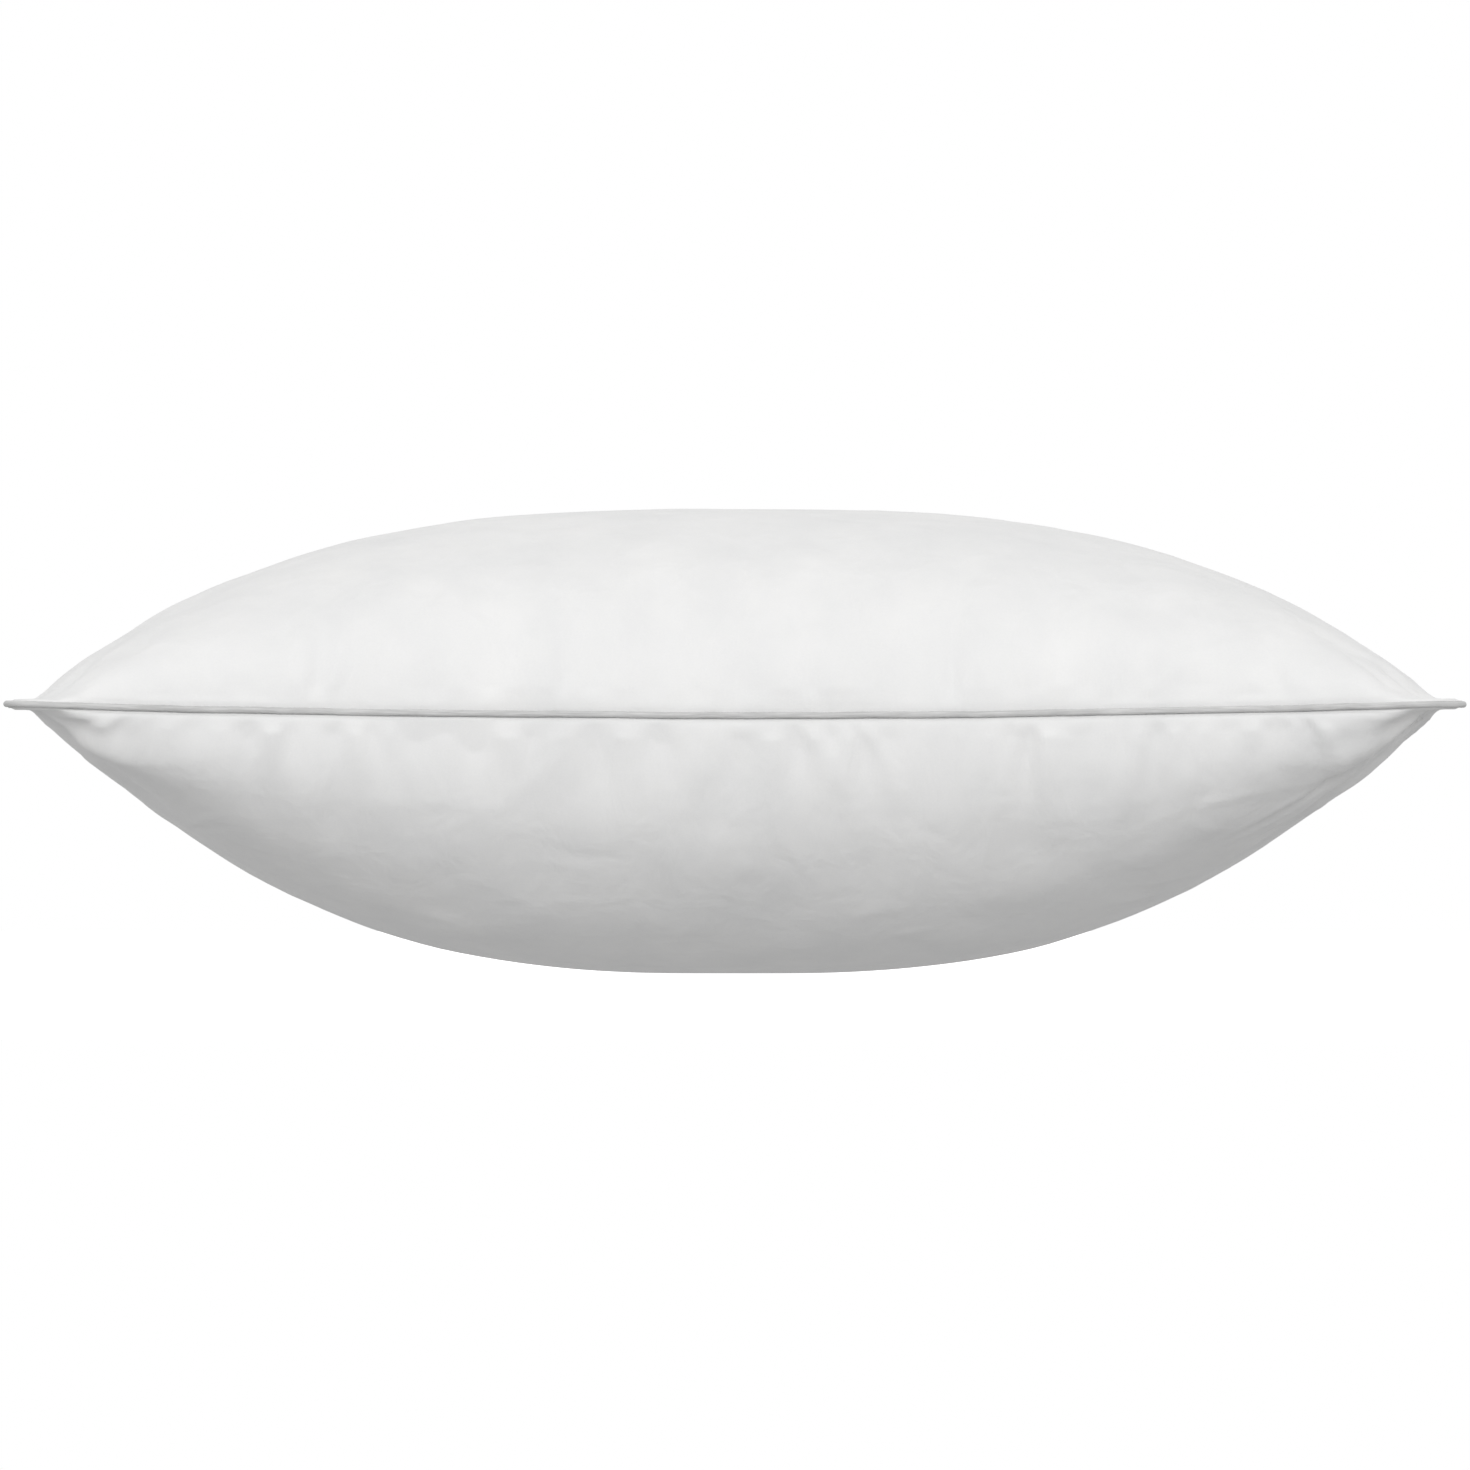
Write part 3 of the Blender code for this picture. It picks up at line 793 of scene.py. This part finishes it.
def pipingPath(steps, stray):
    plan, laps, length = seamLoop(steps, piping["sleeveRadius"])
    height = seamWave(plan[:, 0]) + wobble(laps)
    sway = sum(stray * share * np.sin(2 * math.pi * cycles * laps + start)
               for cycles, share, start in ((61, 0.5, 0.2), (97, 0.35, 1.9), (151, 0.25, 3.3)))
    return np.column_stack([plan, height + sway]), length


def sleeveProfile():
    # outer skin from the upper tail round to the lower one, then back along the inside
    radius, fabric, low = piping["sleeveRadius"], piping["fabric"], piping["tailLow"]
    high, back = low + fabric, -(radius + piping["tail"])
    turn = math.asin(high / radius)
    inner = radius - fabric
    innerTurn = math.asin(low / inner)
    outerAngles = np.linspace(math.pi - turn, -math.pi + turn, 17)
    innerAngles = np.linspace(-math.pi + innerTurn, math.pi - innerTurn, 11)
    outside = [(radius * math.cos(t), radius * math.sin(t), 1) for t in outerAngles]
    inside = [(inner * math.cos(t), inner * math.sin(t), 0) for t in innerAngles]
    line = [(back, high, 0), (back / 2, high, 0)] + outside + [(back / 2, -high, 0), (back, -high, 0), (back, -low, 0)]
    line += inside + [(back, low, 0)]
    mesh = pathMesh("sleeve_profile", [(x, y, 0) for x, y, skin in line], closed=True)
    mesh.attributes.new("skin", "FLOAT", "POINT").data.foreach_set("value", [skin for x, y, skin in line])
    return mesh


def sleeveTree():
    tree, given, result = newTree("pipingSleeve", {"Profile": None, "Material": None, **dict.fromkeys((
        "Pucker", "Spacing", "Bias", "Join", "Join Length", "Join Swell", "Seed", "Length"), 0.0)})
    put, maths, noise = nodeMakers(tree)
    skin, along, around = swept(tree, given)
    slant = maths("MULTIPLY_ADD", around, given["Bias"], along)
    where = put("InputPosition")
    rough = noise(where, 90.0, 2.0, {"W": given["Seed"]}, noise_dimensions="4D")
    fine = noise(where, 420.0, 1.0, {"W": given["Seed"]}, noise_dimensions="4D")
    cycles = maths("DIVIDE", maths("MULTIPLY", slant, 6.2832), given["Spacing"])
    ripple = maths("MULTIPLY", maths("SINE", maths("MULTIPLY_ADD", rough, 9.0, cycles)), maths("SUBTRACT", rough, 0.15))
    wave = maths("ADD", ripple, maths("SUBTRACT", fine, 0.5))
    fromJoin = maths("ABSOLUTE", maths("SUBTRACT", along, maths("MULTIPLY", given["Join"], given["Length"])))
    join = put("MapRange", {"Value": fromJoin, "From Min": given["Join Length"], "From Max": 0.0075, "To Min": 0.0,
                            "To Max": given["Join Swell"]}, interpolation_type="SMOOTHSTEP")
    outside = put("InputNamedAttribute", {"Name": "skin"}, data_type="FLOAT")
    raised = maths("MULTIPLY", maths("MULTIPLY_ADD", wave, given["Pucker"], join), outside)
    offset = put("VectorMath", {0: put("InputNormal"), "Scale": raised}, operation="SCALE")
    moved = put("SetPosition", {"Geometry": skin, "Offset": offset})
    return endTree(tree, given, result, unrolledUv(put, moved, along, around))


def cordTree():
    tree, given, result = newTree("twistedCord", {"Profile": None, "Material": None, "Turns": 0.0})
    skin, along, around = swept(tree, given, twisted=True)
    return endTree(tree, given, result, unrolledUv(nodeMakers(tree)[0], skin, along, around))


def lobes(count, radius, steps):
    turn = np.arange(steps) / steps * 2 * math.pi
    reach = radius * (0.72 + 0.28 * np.abs(np.cos(turn * count / 2)) ** 0.7)
    return pathMesh("cord_profile", np.column_stack([reach * np.cos(turn), reach * np.sin(turn), 0 * turn]), closed=True)


# ---- stitches ----
stitching = {
    "closingLength": 0.0026,
    "closingPitch": 0.0034,
    "closingInset": 0.0024,  # from the seam
    "closingHalf": 0.0985,  # half the length of the closed opening
    "closingThread": 0.00019,
    "lift": 0.00012,  # middle of a stitch over the cloth
    "ditchThread": 0.00016,
    "ditchLength": 0.0008,
    "ditchPitch": 0.0014,
    "ditchReach": 0.052,  # how far from a corner the seam's stitches show
    "ditchOut": 0.00055,  # outside the seam line and above or below it
    "ditchHeight": 0.00155,
    "yaw": 0.10,
    "seed": 21,
}


def stitchTree():
    sizes = {"Material": None, "Stitch": 0.0, "Pitch": 0.0, "Thread": 0.0, "Yaw": 0.0, "Seed": 0}
    tree, given, result = newTree("stitchRow", sizes)
    put, maths, noise = nodeMakers(tree)
    half = maths("MULTIPLY", given["Stitch"], 0.5)
    bow = {"Resolution": 6}
    for socket, x, z in (("Start", -1.0, -0.6), ("Start Handle", -0.55, 1.3),
                         ("End Handle", 0.55, 1.3), ("End", 1.0, -0.6)):
        bow[socket] = put("CombineXYZ", {"X": maths("MULTIPLY", half, x), "Z": maths("MULTIPLY", given["Thread"], z)})
    bow = put("CurvePrimitiveBezierSegment", bow)
    ring = put("CurvePrimitiveCircle", {"Resolution": 6, "Radius": given["Thread"]})
    stitch = put("CurveToMesh", {"Curve": bow, "Profile Curve": ring, "Fill Caps": True})
    path = put("MeshToCurve", {"Mesh": given["Geometry"]})
    spots = put("CurveToPoints", {"Curve": path, "Length": given["Pitch"]}, None, mode="LENGTH").outputs
    facing = put("InputNamedAttribute", {"Name": "facing"}, data_type="FLOAT_VECTOR")
    turned = put("AlignRotationToVector", {"Vector": spots["Tangent"]}, axis="X")
    turned = put("AlignRotationToVector", {"Rotation": turned, "Vector": facing}, axis="Z", pivot_axis="X")
    leans = {2: maths("MULTIPLY", given["Yaw"], -1.0), 3: given["Yaw"], "Seed": given["Seed"]}
    yaw = put("RandomValue", leans, 1, data_type="FLOAT")
    spun = put("EulerToRotation", {0: put("CombineXYZ", {"Z": yaw})})
    turned = put("RotateRotation", {0: turned, 1: spun}, rotation_space="LOCAL")
    row = put("InstanceOnPoints", {"Points": spots["Points"], "Instance": stitch, "Rotation": turned})
    return endTree(tree, given, result, row)


# ---- finishes ----
def newFinish(name):
    material = bpy.data.materials.new(name)
    material.use_nodes = True
    tree = material.node_tree
    tree.nodes.clear()
    put, maths, noise = nodeMakers(tree)
    shader = put("BsdfPrincipled", out=None)
    put("OutputMaterial", {"Surface": shader.outputs[0]}, None)

    def blend(amount, look):
        return put("Mix", {0: amount, 6: (*look["colour"], 1), 7: (*look["shade"], 1)}, 2, data_type="RGBA")

    def bump(height, distance, before=None):
        inputs = {"Height": height, "Distance": distance, "Strength": 1.0}
        return put("Bump", inputs if before is None else {**inputs, "Normal": before})

    return material, tree, shader, blend, bump


def ranged(tree, value, low, high, toLow=0.0, toHigh=1.0):
    limits = {"Value": value, "From Min": low, "From Max": high, "To Min": toLow, "To Max": toHigh}
    return nodeMakers(tree)[0]("MapRange", limits)


def wovenFinish(name, look):
    # plain weave on the piece's cut coordinates, soft creases on its place, and a cloudy colour there: random tone, and
    # painted shade of puckers and lumps
    material, tree, shader, blend, bump = newFinish(name)
    put, maths, noise = nodeMakers(tree)
    cut = put("UVMap", uv_map="UVMap")
    turned = put("Mapping", {"Vector": cut, "Rotation": (0, 0, math.radians(look["bias"]))})
    axes = put("SeparateXYZ", {0: turned}, None).outputs
    weave = maths("MULTIPLY", *[maths("SINE", maths("MULTIPLY", axes[k], math.pi / look["pitch"])) for k in (0, 1)])
    if "streak" in look:
        slub = noise(put("Mapping", {"Vector": cut, "Scale": (look["streak"], 1, 1)}), 1100.0, 1.0)
        slubShare, low, high = 1.6, 0.8, 1.6
    else:
        slub = noise(turned, 900.0, 2.0)
        slubShare, low, high = 0.35, 0.35, 1.0
    uprightPlace = put("Mapping", {"Vector": put("TexCoord", out="Object"), "Scale": (1, 1, look.get("droop", 1))})
    # the cloud darkens the base colour in patches and upright streaks: random tone, and painted shade standing in for
    # the shading of puckers and lumps
    cloud = noise(uprightPlace, look["cloudScale"], 3.0, {"Roughness": 0.55})
    crease = noise(uprightPlace, look["creaseScale"], 3.0, {"Roughness": 0.5, "Distortion": 0.4})
    threads = maths("MULTIPLY_ADD", slub, 0.5, weave)
    setInputs(tree, shader, {
        "Base Color": blend(ranged(tree, maths("MULTIPLY_ADD", slub, slubShare, cloud), low, high), look),
        "Roughness": ranged(tree, maths("MULTIPLY_ADD", weave, 0.15, slub), 0.2, 0.9, *look["roughness"]),
        "Normal": bump(threads, look["weaveDepth"], bump(crease, look["creaseDepth"])),
        "Sheen Weight": look["sheen"], "Sheen Roughness": 0.5, "Specular IOR Level": 0.25})
    return material


def threadFinish(name, look):
    # twisted plies: slanted bands with fine fibre noise
    material, tree, shader, blend, bump = newFinish(name)
    put, maths, noise = nodeMakers(tree)
    place = put("TexCoord", out="Object")
    turned = put("Mapping", {"Vector": place, "Rotation": (0.6, 0.4, 0.8)})
    plies = put("TexWave", {"Vector": turned, "Scale": look["plyScale"], "Distortion": 1.5, "Detail": 1.0}, "Fac",
                wave_profile="SIN")
    fibre = noise(place, 2600.0, 2.0)
    setInputs(tree, shader, {
        "Base Color": blend(ranged(tree, noise(place, 60.0, 1.0), 0.3, 0.7), look),
        "Roughness": ranged(tree, fibre, 0.2, 0.8, *look["roughness"]),
        "Normal": bump(fibre, look["plyDepth"] * 0.4, bump(plies, look["plyDepth"])),
        "Sheen Weight": look["sheen"], "Specular IOR Level": 0.4})
    return material


def fibreFinish(name, look):
    # loose tangled wadding
    material, tree, shader, blend, bump = newFinish(name)
    put, maths, noise = nodeMakers(tree)
    place = put("TexCoord", out="Object")
    drift = put("TexNoise", {"Vector": place, "Scale": 25.0, "Detail": 2.0}, "Color")
    pulled = put("Mix", {0: 0.06, 4: place, 5: drift}, 1, data_type="VECTOR")
    strands = noise(pulled, look["strandScale"], 5.0, {"Roughness": 0.7})
    tufts = put("TexVoronoi", {"Vector": pulled, "Scale": look["tuftScale"], "Smoothness": 0.8}, "Distance",
                feature="SMOOTH_F1")
    setInputs(tree, shader, {
        "Base Color": blend(tufts, look),
        "Roughness": ranged(tree, strands, 0.2, 0.8, 0.75, 1.0),
        "Normal": bump(strands, 0.0015, bump(tufts, 0.004)),
        "Sheen Weight": 0.5})
    return material


def ribbonFinish(name, look):
    # satin ribbon: long floats across the width, darker selvedges
    material, tree, shader, blend, bump = newFinish(name)
    put, maths, noise = nodeMakers(tree)
    place = put("TexCoord", out="Object")
    axes = put("SeparateXYZ", {0: put("UVMap", uv_map="UVMap")}, None).outputs
    ribs = maths("SINE", maths("MULTIPLY", axes[1], 2 * math.pi / look["pitch"]))
    slip = noise(place, 1200.0, 2.0)
    half = look["width"] / 2
    edge = ranged(tree, maths("ABSOLUTE", maths("SUBTRACT", axes[0], half)), half - 0.0018, half - 0.0012)
    cloud = maths("MULTIPLY", noise(place, 80.0, 1.0), 0.4)
    setInputs(tree, shader, {
        "Base Color": blend(maths("MAXIMUM", cloud, edge), look),
        "Roughness": ranged(tree, maths("MULTIPLY_ADD", ribs, 0.1, slip), 0.3, 0.8, *look["roughness"]),
        "Normal": bump(slip, look["ribDepth"], bump(maths("MULTIPLY_ADD", edge, 1.5, ribs), look["ribDepth"])),
        "Specular IOR Level": 0.5, "Sheen Weight": 0.1})
    return material


looks = {
    # the ticking's cloud is stretched upright: painted shade of puckers as darker streaks
    "ticking": {"colour": (0.855, 0.852, 0.846), "shade": (0.775, 0.777, 0.777), "pitch": 0.00034, "bias": 0,
                "weaveDepth": 0.00004, "droop": 0.45, "creaseDepth": 0.0018, "creaseScale": 42.0, "cloudScale": 24.0,
                "roughness": (0.72, 0.9), "sheen": 0.12},
    # the white bias strip is coloured darker grey than the ticking: painted shade standing in for the shadow in the
    # seam's hollow; lengthwise streaks darken it further
    "piping": {"colour": (0.66, 0.66, 0.655), "shade": (0.50, 0.50, 0.497), "streak": 0.06, "pitch": 0.00034, "bias": 45,
               "weaveDepth": 0.00004, "creaseDepth": 0.0004, "creaseScale": 160.0, "cloudScale": 30.0,
               "roughness": (0.68, 0.86), "sheen": 0.1},
    "cord": {"colour": (0.80, 0.775, 0.72), "shade": (0.72, 0.69, 0.62), "plyScale": 700.0, "plyDepth": 0.00006,
             "roughness": (0.75, 0.95), "sheen": 0.3},
    "thread": {"colour": (0.84, 0.84, 0.835), "shade": (0.77, 0.77, 0.765), "plyScale": 900.0, "plyDepth": 0.00004,
               "roughness": (0.35, 0.55), "sheen": 0.1},
    "overlock": {"colour": (0.83, 0.83, 0.82), "shade": (0.75, 0.75, 0.74), "plyScale": 420.0, "plyDepth": 0.0001,
                 "roughness": (0.4, 0.6), "sheen": 0.15},
    "fill": {"colour": (0.87, 0.87, 0.865), "shade": (0.76, 0.76, 0.755), "strandScale": 420.0, "tuftScale": 45.0},
    "label": {"colour": (0.86, 0.86, 0.855), "shade": (0.78, 0.78, 0.775), "pitch": 0.00045, "width": 0.040,
              "ribDepth": 0.00003, "roughness": (0.3, 0.45)},
}
say("mixing the finishes")
finishes = {use: make(name, looks[use]) for use, make, name in (
    ("ticking", wovenFinish, "white_ticking"),
    # the bias strip's finish carries painted shade
    ("piping", wovenFinish, "white_bias_strip"),
    ("cord", threadFinish, "cotton_cord"),
    ("thread", threadFinish, "white_thread"),
    ("overlock", threadFinish, "overlock_thread"),
    ("fill", fibreFinish, "white_wadding"),
    ("label", ribbonFinish, "satin_ribbon"))}
for piece in panels.values():
    piece.data.materials.append(finishes["ticking"])
fillPiece.data.materials.append(finishes["fill"])

say("running the piping")
loopPath, loopLength = pipingPath(piping["steps"], 0.00012)
sleeveOutline = bpy.data.objects.new("sleeve_profile", sleeveProfile())
cordOutline = bpy.data.objects.new("cord_profile", lobes(3, piping["cordRadius"], 18))
for helper in (sleeveOutline, cordOutline):
    scene.collection.objects.link(helper)
sleeve = grow("piping_sleeve_fabric", pathMesh("piping_route", loopPath, closed=True), sleeveTree(), {
    "Profile": sleeveOutline, "Material": finishes["piping"], "Pucker": piping["pucker"],
    "Spacing": piping["puckerSpacing"], "Bias": piping["bias"], "Join": piping["joinAt"],
    "Join Length": piping["joinLength"], "Join Swell": piping["joinSwell"], "Seed": piping["seed"], "Length": loopLength})
cord = grow("piping_cord_strands", pathMesh("cord_route", loopPath, closed=True), cordTree(), {
    "Profile": cordOutline, "Material": finishes["cord"], "Turns": float(round(loopLength / piping["cordLay"]))})
for helper in (sleeveOutline, cordOutline):
    bpy.data.objects.remove(helper)
for piece in (sleeve, cord):
    outwardFaces(piece)

say("sewing the stitches")


def panelLine(side, inset, half, steps):
    # a line on the finished cloth beside the +X short side, and the way the cloth faces there
    grid = panelGrids[side]
    normals = surfaceNormals(grid, side)
    edge = grid[:, -1]
    line, facing = [], []
    for y in np.linspace(-half, half, steps):
        j = int(np.argmin(np.abs(edge[:, 1] - y)))
        across = np.hypot(grid[j, :, 0] - edge[j, 0], grid[j, :, 1] - edge[j, 1])[::-1]
        k = int(np.searchsorted(across, inset))
        t = (inset - across[k - 1]) / max(across[k] - across[k - 1], 1e-9)
        spot = grid[j, ::-1][k - 1] * (1 - t) + grid[j, ::-1][k] * t
        away = normals[j, ::-1][k - 1] * (1 - t) + normals[j, ::-1][k] * t
        line.append([spot[0], y, spot[2]] + away * stitching["lift"])
        facing.append(away)
    return np.array(line), np.array(facing)


stitchRow = stitchTree()


def sewn(name, route, kind, loose=1, again=0):
    return grow(name, route, stitchRow, {
        "Material": finishes["thread"], "Stitch": stitching[kind + "Length"], "Pitch": stitching[kind + "Pitch"],
        "Thread": stitching[kind + "Thread"], "Yaw": stitching["yaw"] * loose, "Seed": stitching["seed"] + again})


closing = {}
for label, side in (("top", 1), ("bottom", -1)):
    line, facing = panelLine(side, stitching["closingInset"], stitching["closingHalf"], 200)
    closing[label] = sewn("closing_stitch_" + label + "_row", pathMesh("closing_route", line, facing=facing), "closing")
plan, laps, length = seamLoop(seam["loopSteps"])
reach = np.hypot(np.abs(plan[:, 0]) - tips[0], np.abs(plan[:, 1]) - tips[1])
shown = reach < stitching["ditchReach"]
starts = [k for k in range(len(shown)) if shown[k] and not shown[k - 1]]
points, edges, facing = [], [], []
for side in (1, -1):
    for start in starts:
        run = []
        while shown[(start + len(run)) % len(shown)]:
            run.append((start + len(run)) % len(shown))
        outwards = plan[run] - np.roll(plan, 1, axis=0)[run]
        outwards = unit(np.stack([outwards[:, 1], -outwards[:, 0]], axis=-1))
        height = seamHeight(plan[run][:, 0], plan[run][:, 1]) + side * stitching["ditchHeight"]
        base = len(points)
        points.extend(np.column_stack([plan[run] + outwards * stitching["ditchOut"], height]).tolist())
        facing.extend(np.column_stack([outwards, np.full(len(run), side * 0.6)]).tolist())
        edges.extend([(base + n, base + n + 1) for n in range(len(run) - 1)])
ditchRoute = pathMesh("ditch_route", points, facing=facing, edges=edges)
ditch = sewn("corner_ditch_stitches", ditchRoute, "ditch", 3, 1)
for piece in (closing["top"], closing["bottom"], ditch):
    outwardFaces(piece)


# ---- care label: a blank ribbon folded in half, its ends in the seam ----
ribbon = {
    "width": 0.040,
    "drop": 0.0445,
    "thick": 0.00022,
    "apart": 0.00016,  # half the space between the two layers
    "widthSteps": 24,
    "dropSteps": 44,
    "curl": 0.0009,
    "ripple": 0.00035,
}


def careLabel():
    top, axis, outwards, down = labelHinge()
    steps = ribbon["dropSteps"]
    # centre line of the ribbon: down the outer layer, round the fold, up the inner one
    line = []
    half = ribbon["apart"] + ribbon["thick"] / 2
    straight = ribbon["drop"] - half - ribbon["thick"] / 2
    for k in range(steps + 1):
        line.append((half, straight * k / steps, 1))
    for k in range(1, 6):
        turn = math.pi * k / 6
        line.append((half * math.cos(turn), straight + half * math.sin(turn), 1))
    for k in range(steps + 1):
        line.append((-half, straight * (1 - k / steps), -1))
    line = np.array(line)
    tangent = unit(np.gradient(line[:, :2], axis=0))
    left = np.stack([tangent[:, 1], -tangent[:, 0]], axis=-1)
    run = runLengths(line[:, :2])
    across = np.linspace(-0.5, 0.5, ribbon["widthSteps"] + 1)
    layers, uvs = [], []
    for skin in (1, -1):
        for n, (out, drop) in enumerate(line[:, :2] + left * skin * ribbon["thick"] / 2):
            for share in across:
                fall = np.clip(drop / ribbon["drop"], 0, 1)
                bend = ribbon["curl"] * fall ** 2 * (share * 2) ** 2
                bend += ribbon["ripple"] * math.sin(share * 9 + 2 * fall) * fall
                spot = top + axis * (share * ribbon["width"]) + down * (drop + 0.0002) + outwards * (out + bend)
                layers.append(spot)
                uvs.append(((share + 0.5) * ribbon["width"], run[n]))
    rows, columns = len(line), len(across)
    index = np.arange(rows * columns).reshape(rows, columns)
    faces = gridFaces(index) + gridFaces(index + rows * columns, True)
    edge = rimLoop(rows, columns)
    first = index[edge[:, 0], edge[:, 1]]
    faces += ringFaces(first, first + rows * columns).tolist()
    piece = meshObject("care_label_ribbon", [tuple(spot) for spot in layers], faces, np.array(uvs))
    outwardFaces(piece)
    piece.data.materials.append(finishes["label"])
    return piece, float(run[-1])


say("folding the label")
label, ribbonLength = careLabel()

for node, finish in (("seam_needle_thread", "thread"), ("seam_bobbin_thread", "thread"), ("overlock_edge", "overlock")):
    mesh = frame["nodes"][node].data
    mesh.materials.clear()
    mesh.materials.append(finishes[finish])

# ---- what each piece rides on and stands for ----
say("fixing the pieces to the frame")
for piece, slot, nodes in (
        (panels["top_panel_cloth"], "ticking", ["top_panel"]),
        (panels["bottom_panel_cloth"], "ticking", ["bottom_panel"]),
        (fillPiece, "fill", ["fill"]),
        (sleeve, "piping", ["piping_sleeve"]),
        (cord, "cord", ["piping_cord"]),
        (closing["top"], "thread", ["closing_stitch_top"]),
        (closing["bottom"], "thread", ["closing_stitch_bottom"]),
        (ditch, "thread", [])):
    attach(piece, "pillow")
    if nodes:
        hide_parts(*nodes)
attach(label, "label")
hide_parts("care_label")

# ---- floor, light and camera ----
studio = {
    "floor": 12.0,
    "floorColour": (0.93, 0.93, 0.93),
    "floorGlow": 0.8,
    # glow of the surroundings from straight down to straight up
    "sky": ((0.0, 0.36), (0.18, 0.53), (0.5, 0.69), (0.82, 0.82), (1.0, 0.76)),
    "aim": (0, 0, 0.12),
    "distance": 28.0,
    "eyeHeight": 0.121,
    "frontEdge": 0.24,
    "viewWidth": 0.738,  # width seen at the near long side
    "sensor": 36.0,
}
# softboxes: place, width, height, power
lamps = {
    "front_softbox": ((0.0, -4.3, 1.69), 4.6, 2.0, 90.0),
    "back_left_softbox": ((-3.1, 3.1, 1.3), 2.5, 1.6, 18.0),
    "back_right_softbox": ((3.1, 3.1, 1.3), 2.5, 1.6, 18.0),
}
say("setting the studio")
half = studio["floor"] / 2
floor = meshObject("studio_floor", [(-half, -half, 0), (half, -half, 0), (half, half, 0), (-half, half, 0)], [(0, 1, 2, 3)])
floorFinish, tree, shader = newFinish("pale_floor")[:3]
put = nodeMakers(tree)[0]
grain = put("TexNoise", {"Vector": put("TexCoord", out="Object"), "Scale": 40.0})
setInputs(tree, shader, {
    "Base Color": (*studio["floorColour"], 1), "Roughness": ranged(tree, grain, 0.0, 1.0, 0.85, 0.95),
    "Emission Color": (1, 1, 1, 1), "Emission Strength": studio["floorGlow"]})
floor.data.materials.append(floorFinish)
floor.visible_diffuse = floor.visible_glossy = False
floor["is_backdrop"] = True

world = bpy.data.worlds.new("studio")
scene.world = world
world.use_nodes = True
tree = world.node_tree
tree.nodes.clear()
put = nodeMakers(tree)[0]
height = put("SeparateXYZ", {0: put("TexCoord", out="Generated")}, "Z")
ramp = put("ValToRGB", {"Fac": ranged(tree, height, -1.0, 1.0)}, None)
stops = ramp.color_ramp.elements
for place, glow in studio["sky"][1:-1]:
    stops.new(place)
for stop, (place, glow) in zip(stops, studio["sky"]):
    stop.position, stop.color = place, (glow, glow, glow, 1)
soft = put("Background", {"Color": ramp.outputs[0], "Strength": 1.0})
plain = put("Background", {"Color": (1, 1, 1, 1), "Strength": 1.0})
mixed = put("MixShader", {0: put("LightPath", out="Is Camera Ray"), 1: soft, 2: plain})
put("OutputWorld", {"Surface": mixed}, None)

for name, (place, wide, tall, power) in lamps.items():
    light = bpy.data.lights.new(name, "AREA")
    light.shape, light.size, light.size_y, light.energy = "RECTANGLE", wide, tall, power
    lamp = bpy.data.objects.new(name, light)
    scene.collection.objects.link(lamp)
    lamp.location = place
    lamp.rotation_euler = (Vector(studio["aim"]) - Vector(place)).to_track_quat("-Z", "Y").to_euler()

lens = bpy.data.cameras.new("eye")
lens.sensor_width = studio["sensor"]
lens.lens = studio["sensor"] * (studio["distance"] - studio["frontEdge"]) / studio["viewWidth"]
lens.clip_start, lens.clip_end = 0.5, 60
camera = bpy.data.objects.new("eye", lens)
scene.collection.objects.link(camera)
camera.location = (0, -studio["distance"], studio["eyeHeight"])
camera.rotation_euler = (math.pi / 2, 0, 0)
scene.camera = camera
scene.view_settings.view_transform = "Standard"

bpy.context.view_layer.update()
visualBox = [list(corner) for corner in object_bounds()]
growth = ["%.1f mm" % (1000 * (v - c)) for cad, seen in zip(cadBox, visualBox) for c, v in zip(cad, seen)]
say("box grew by " + ", ".join(growth))
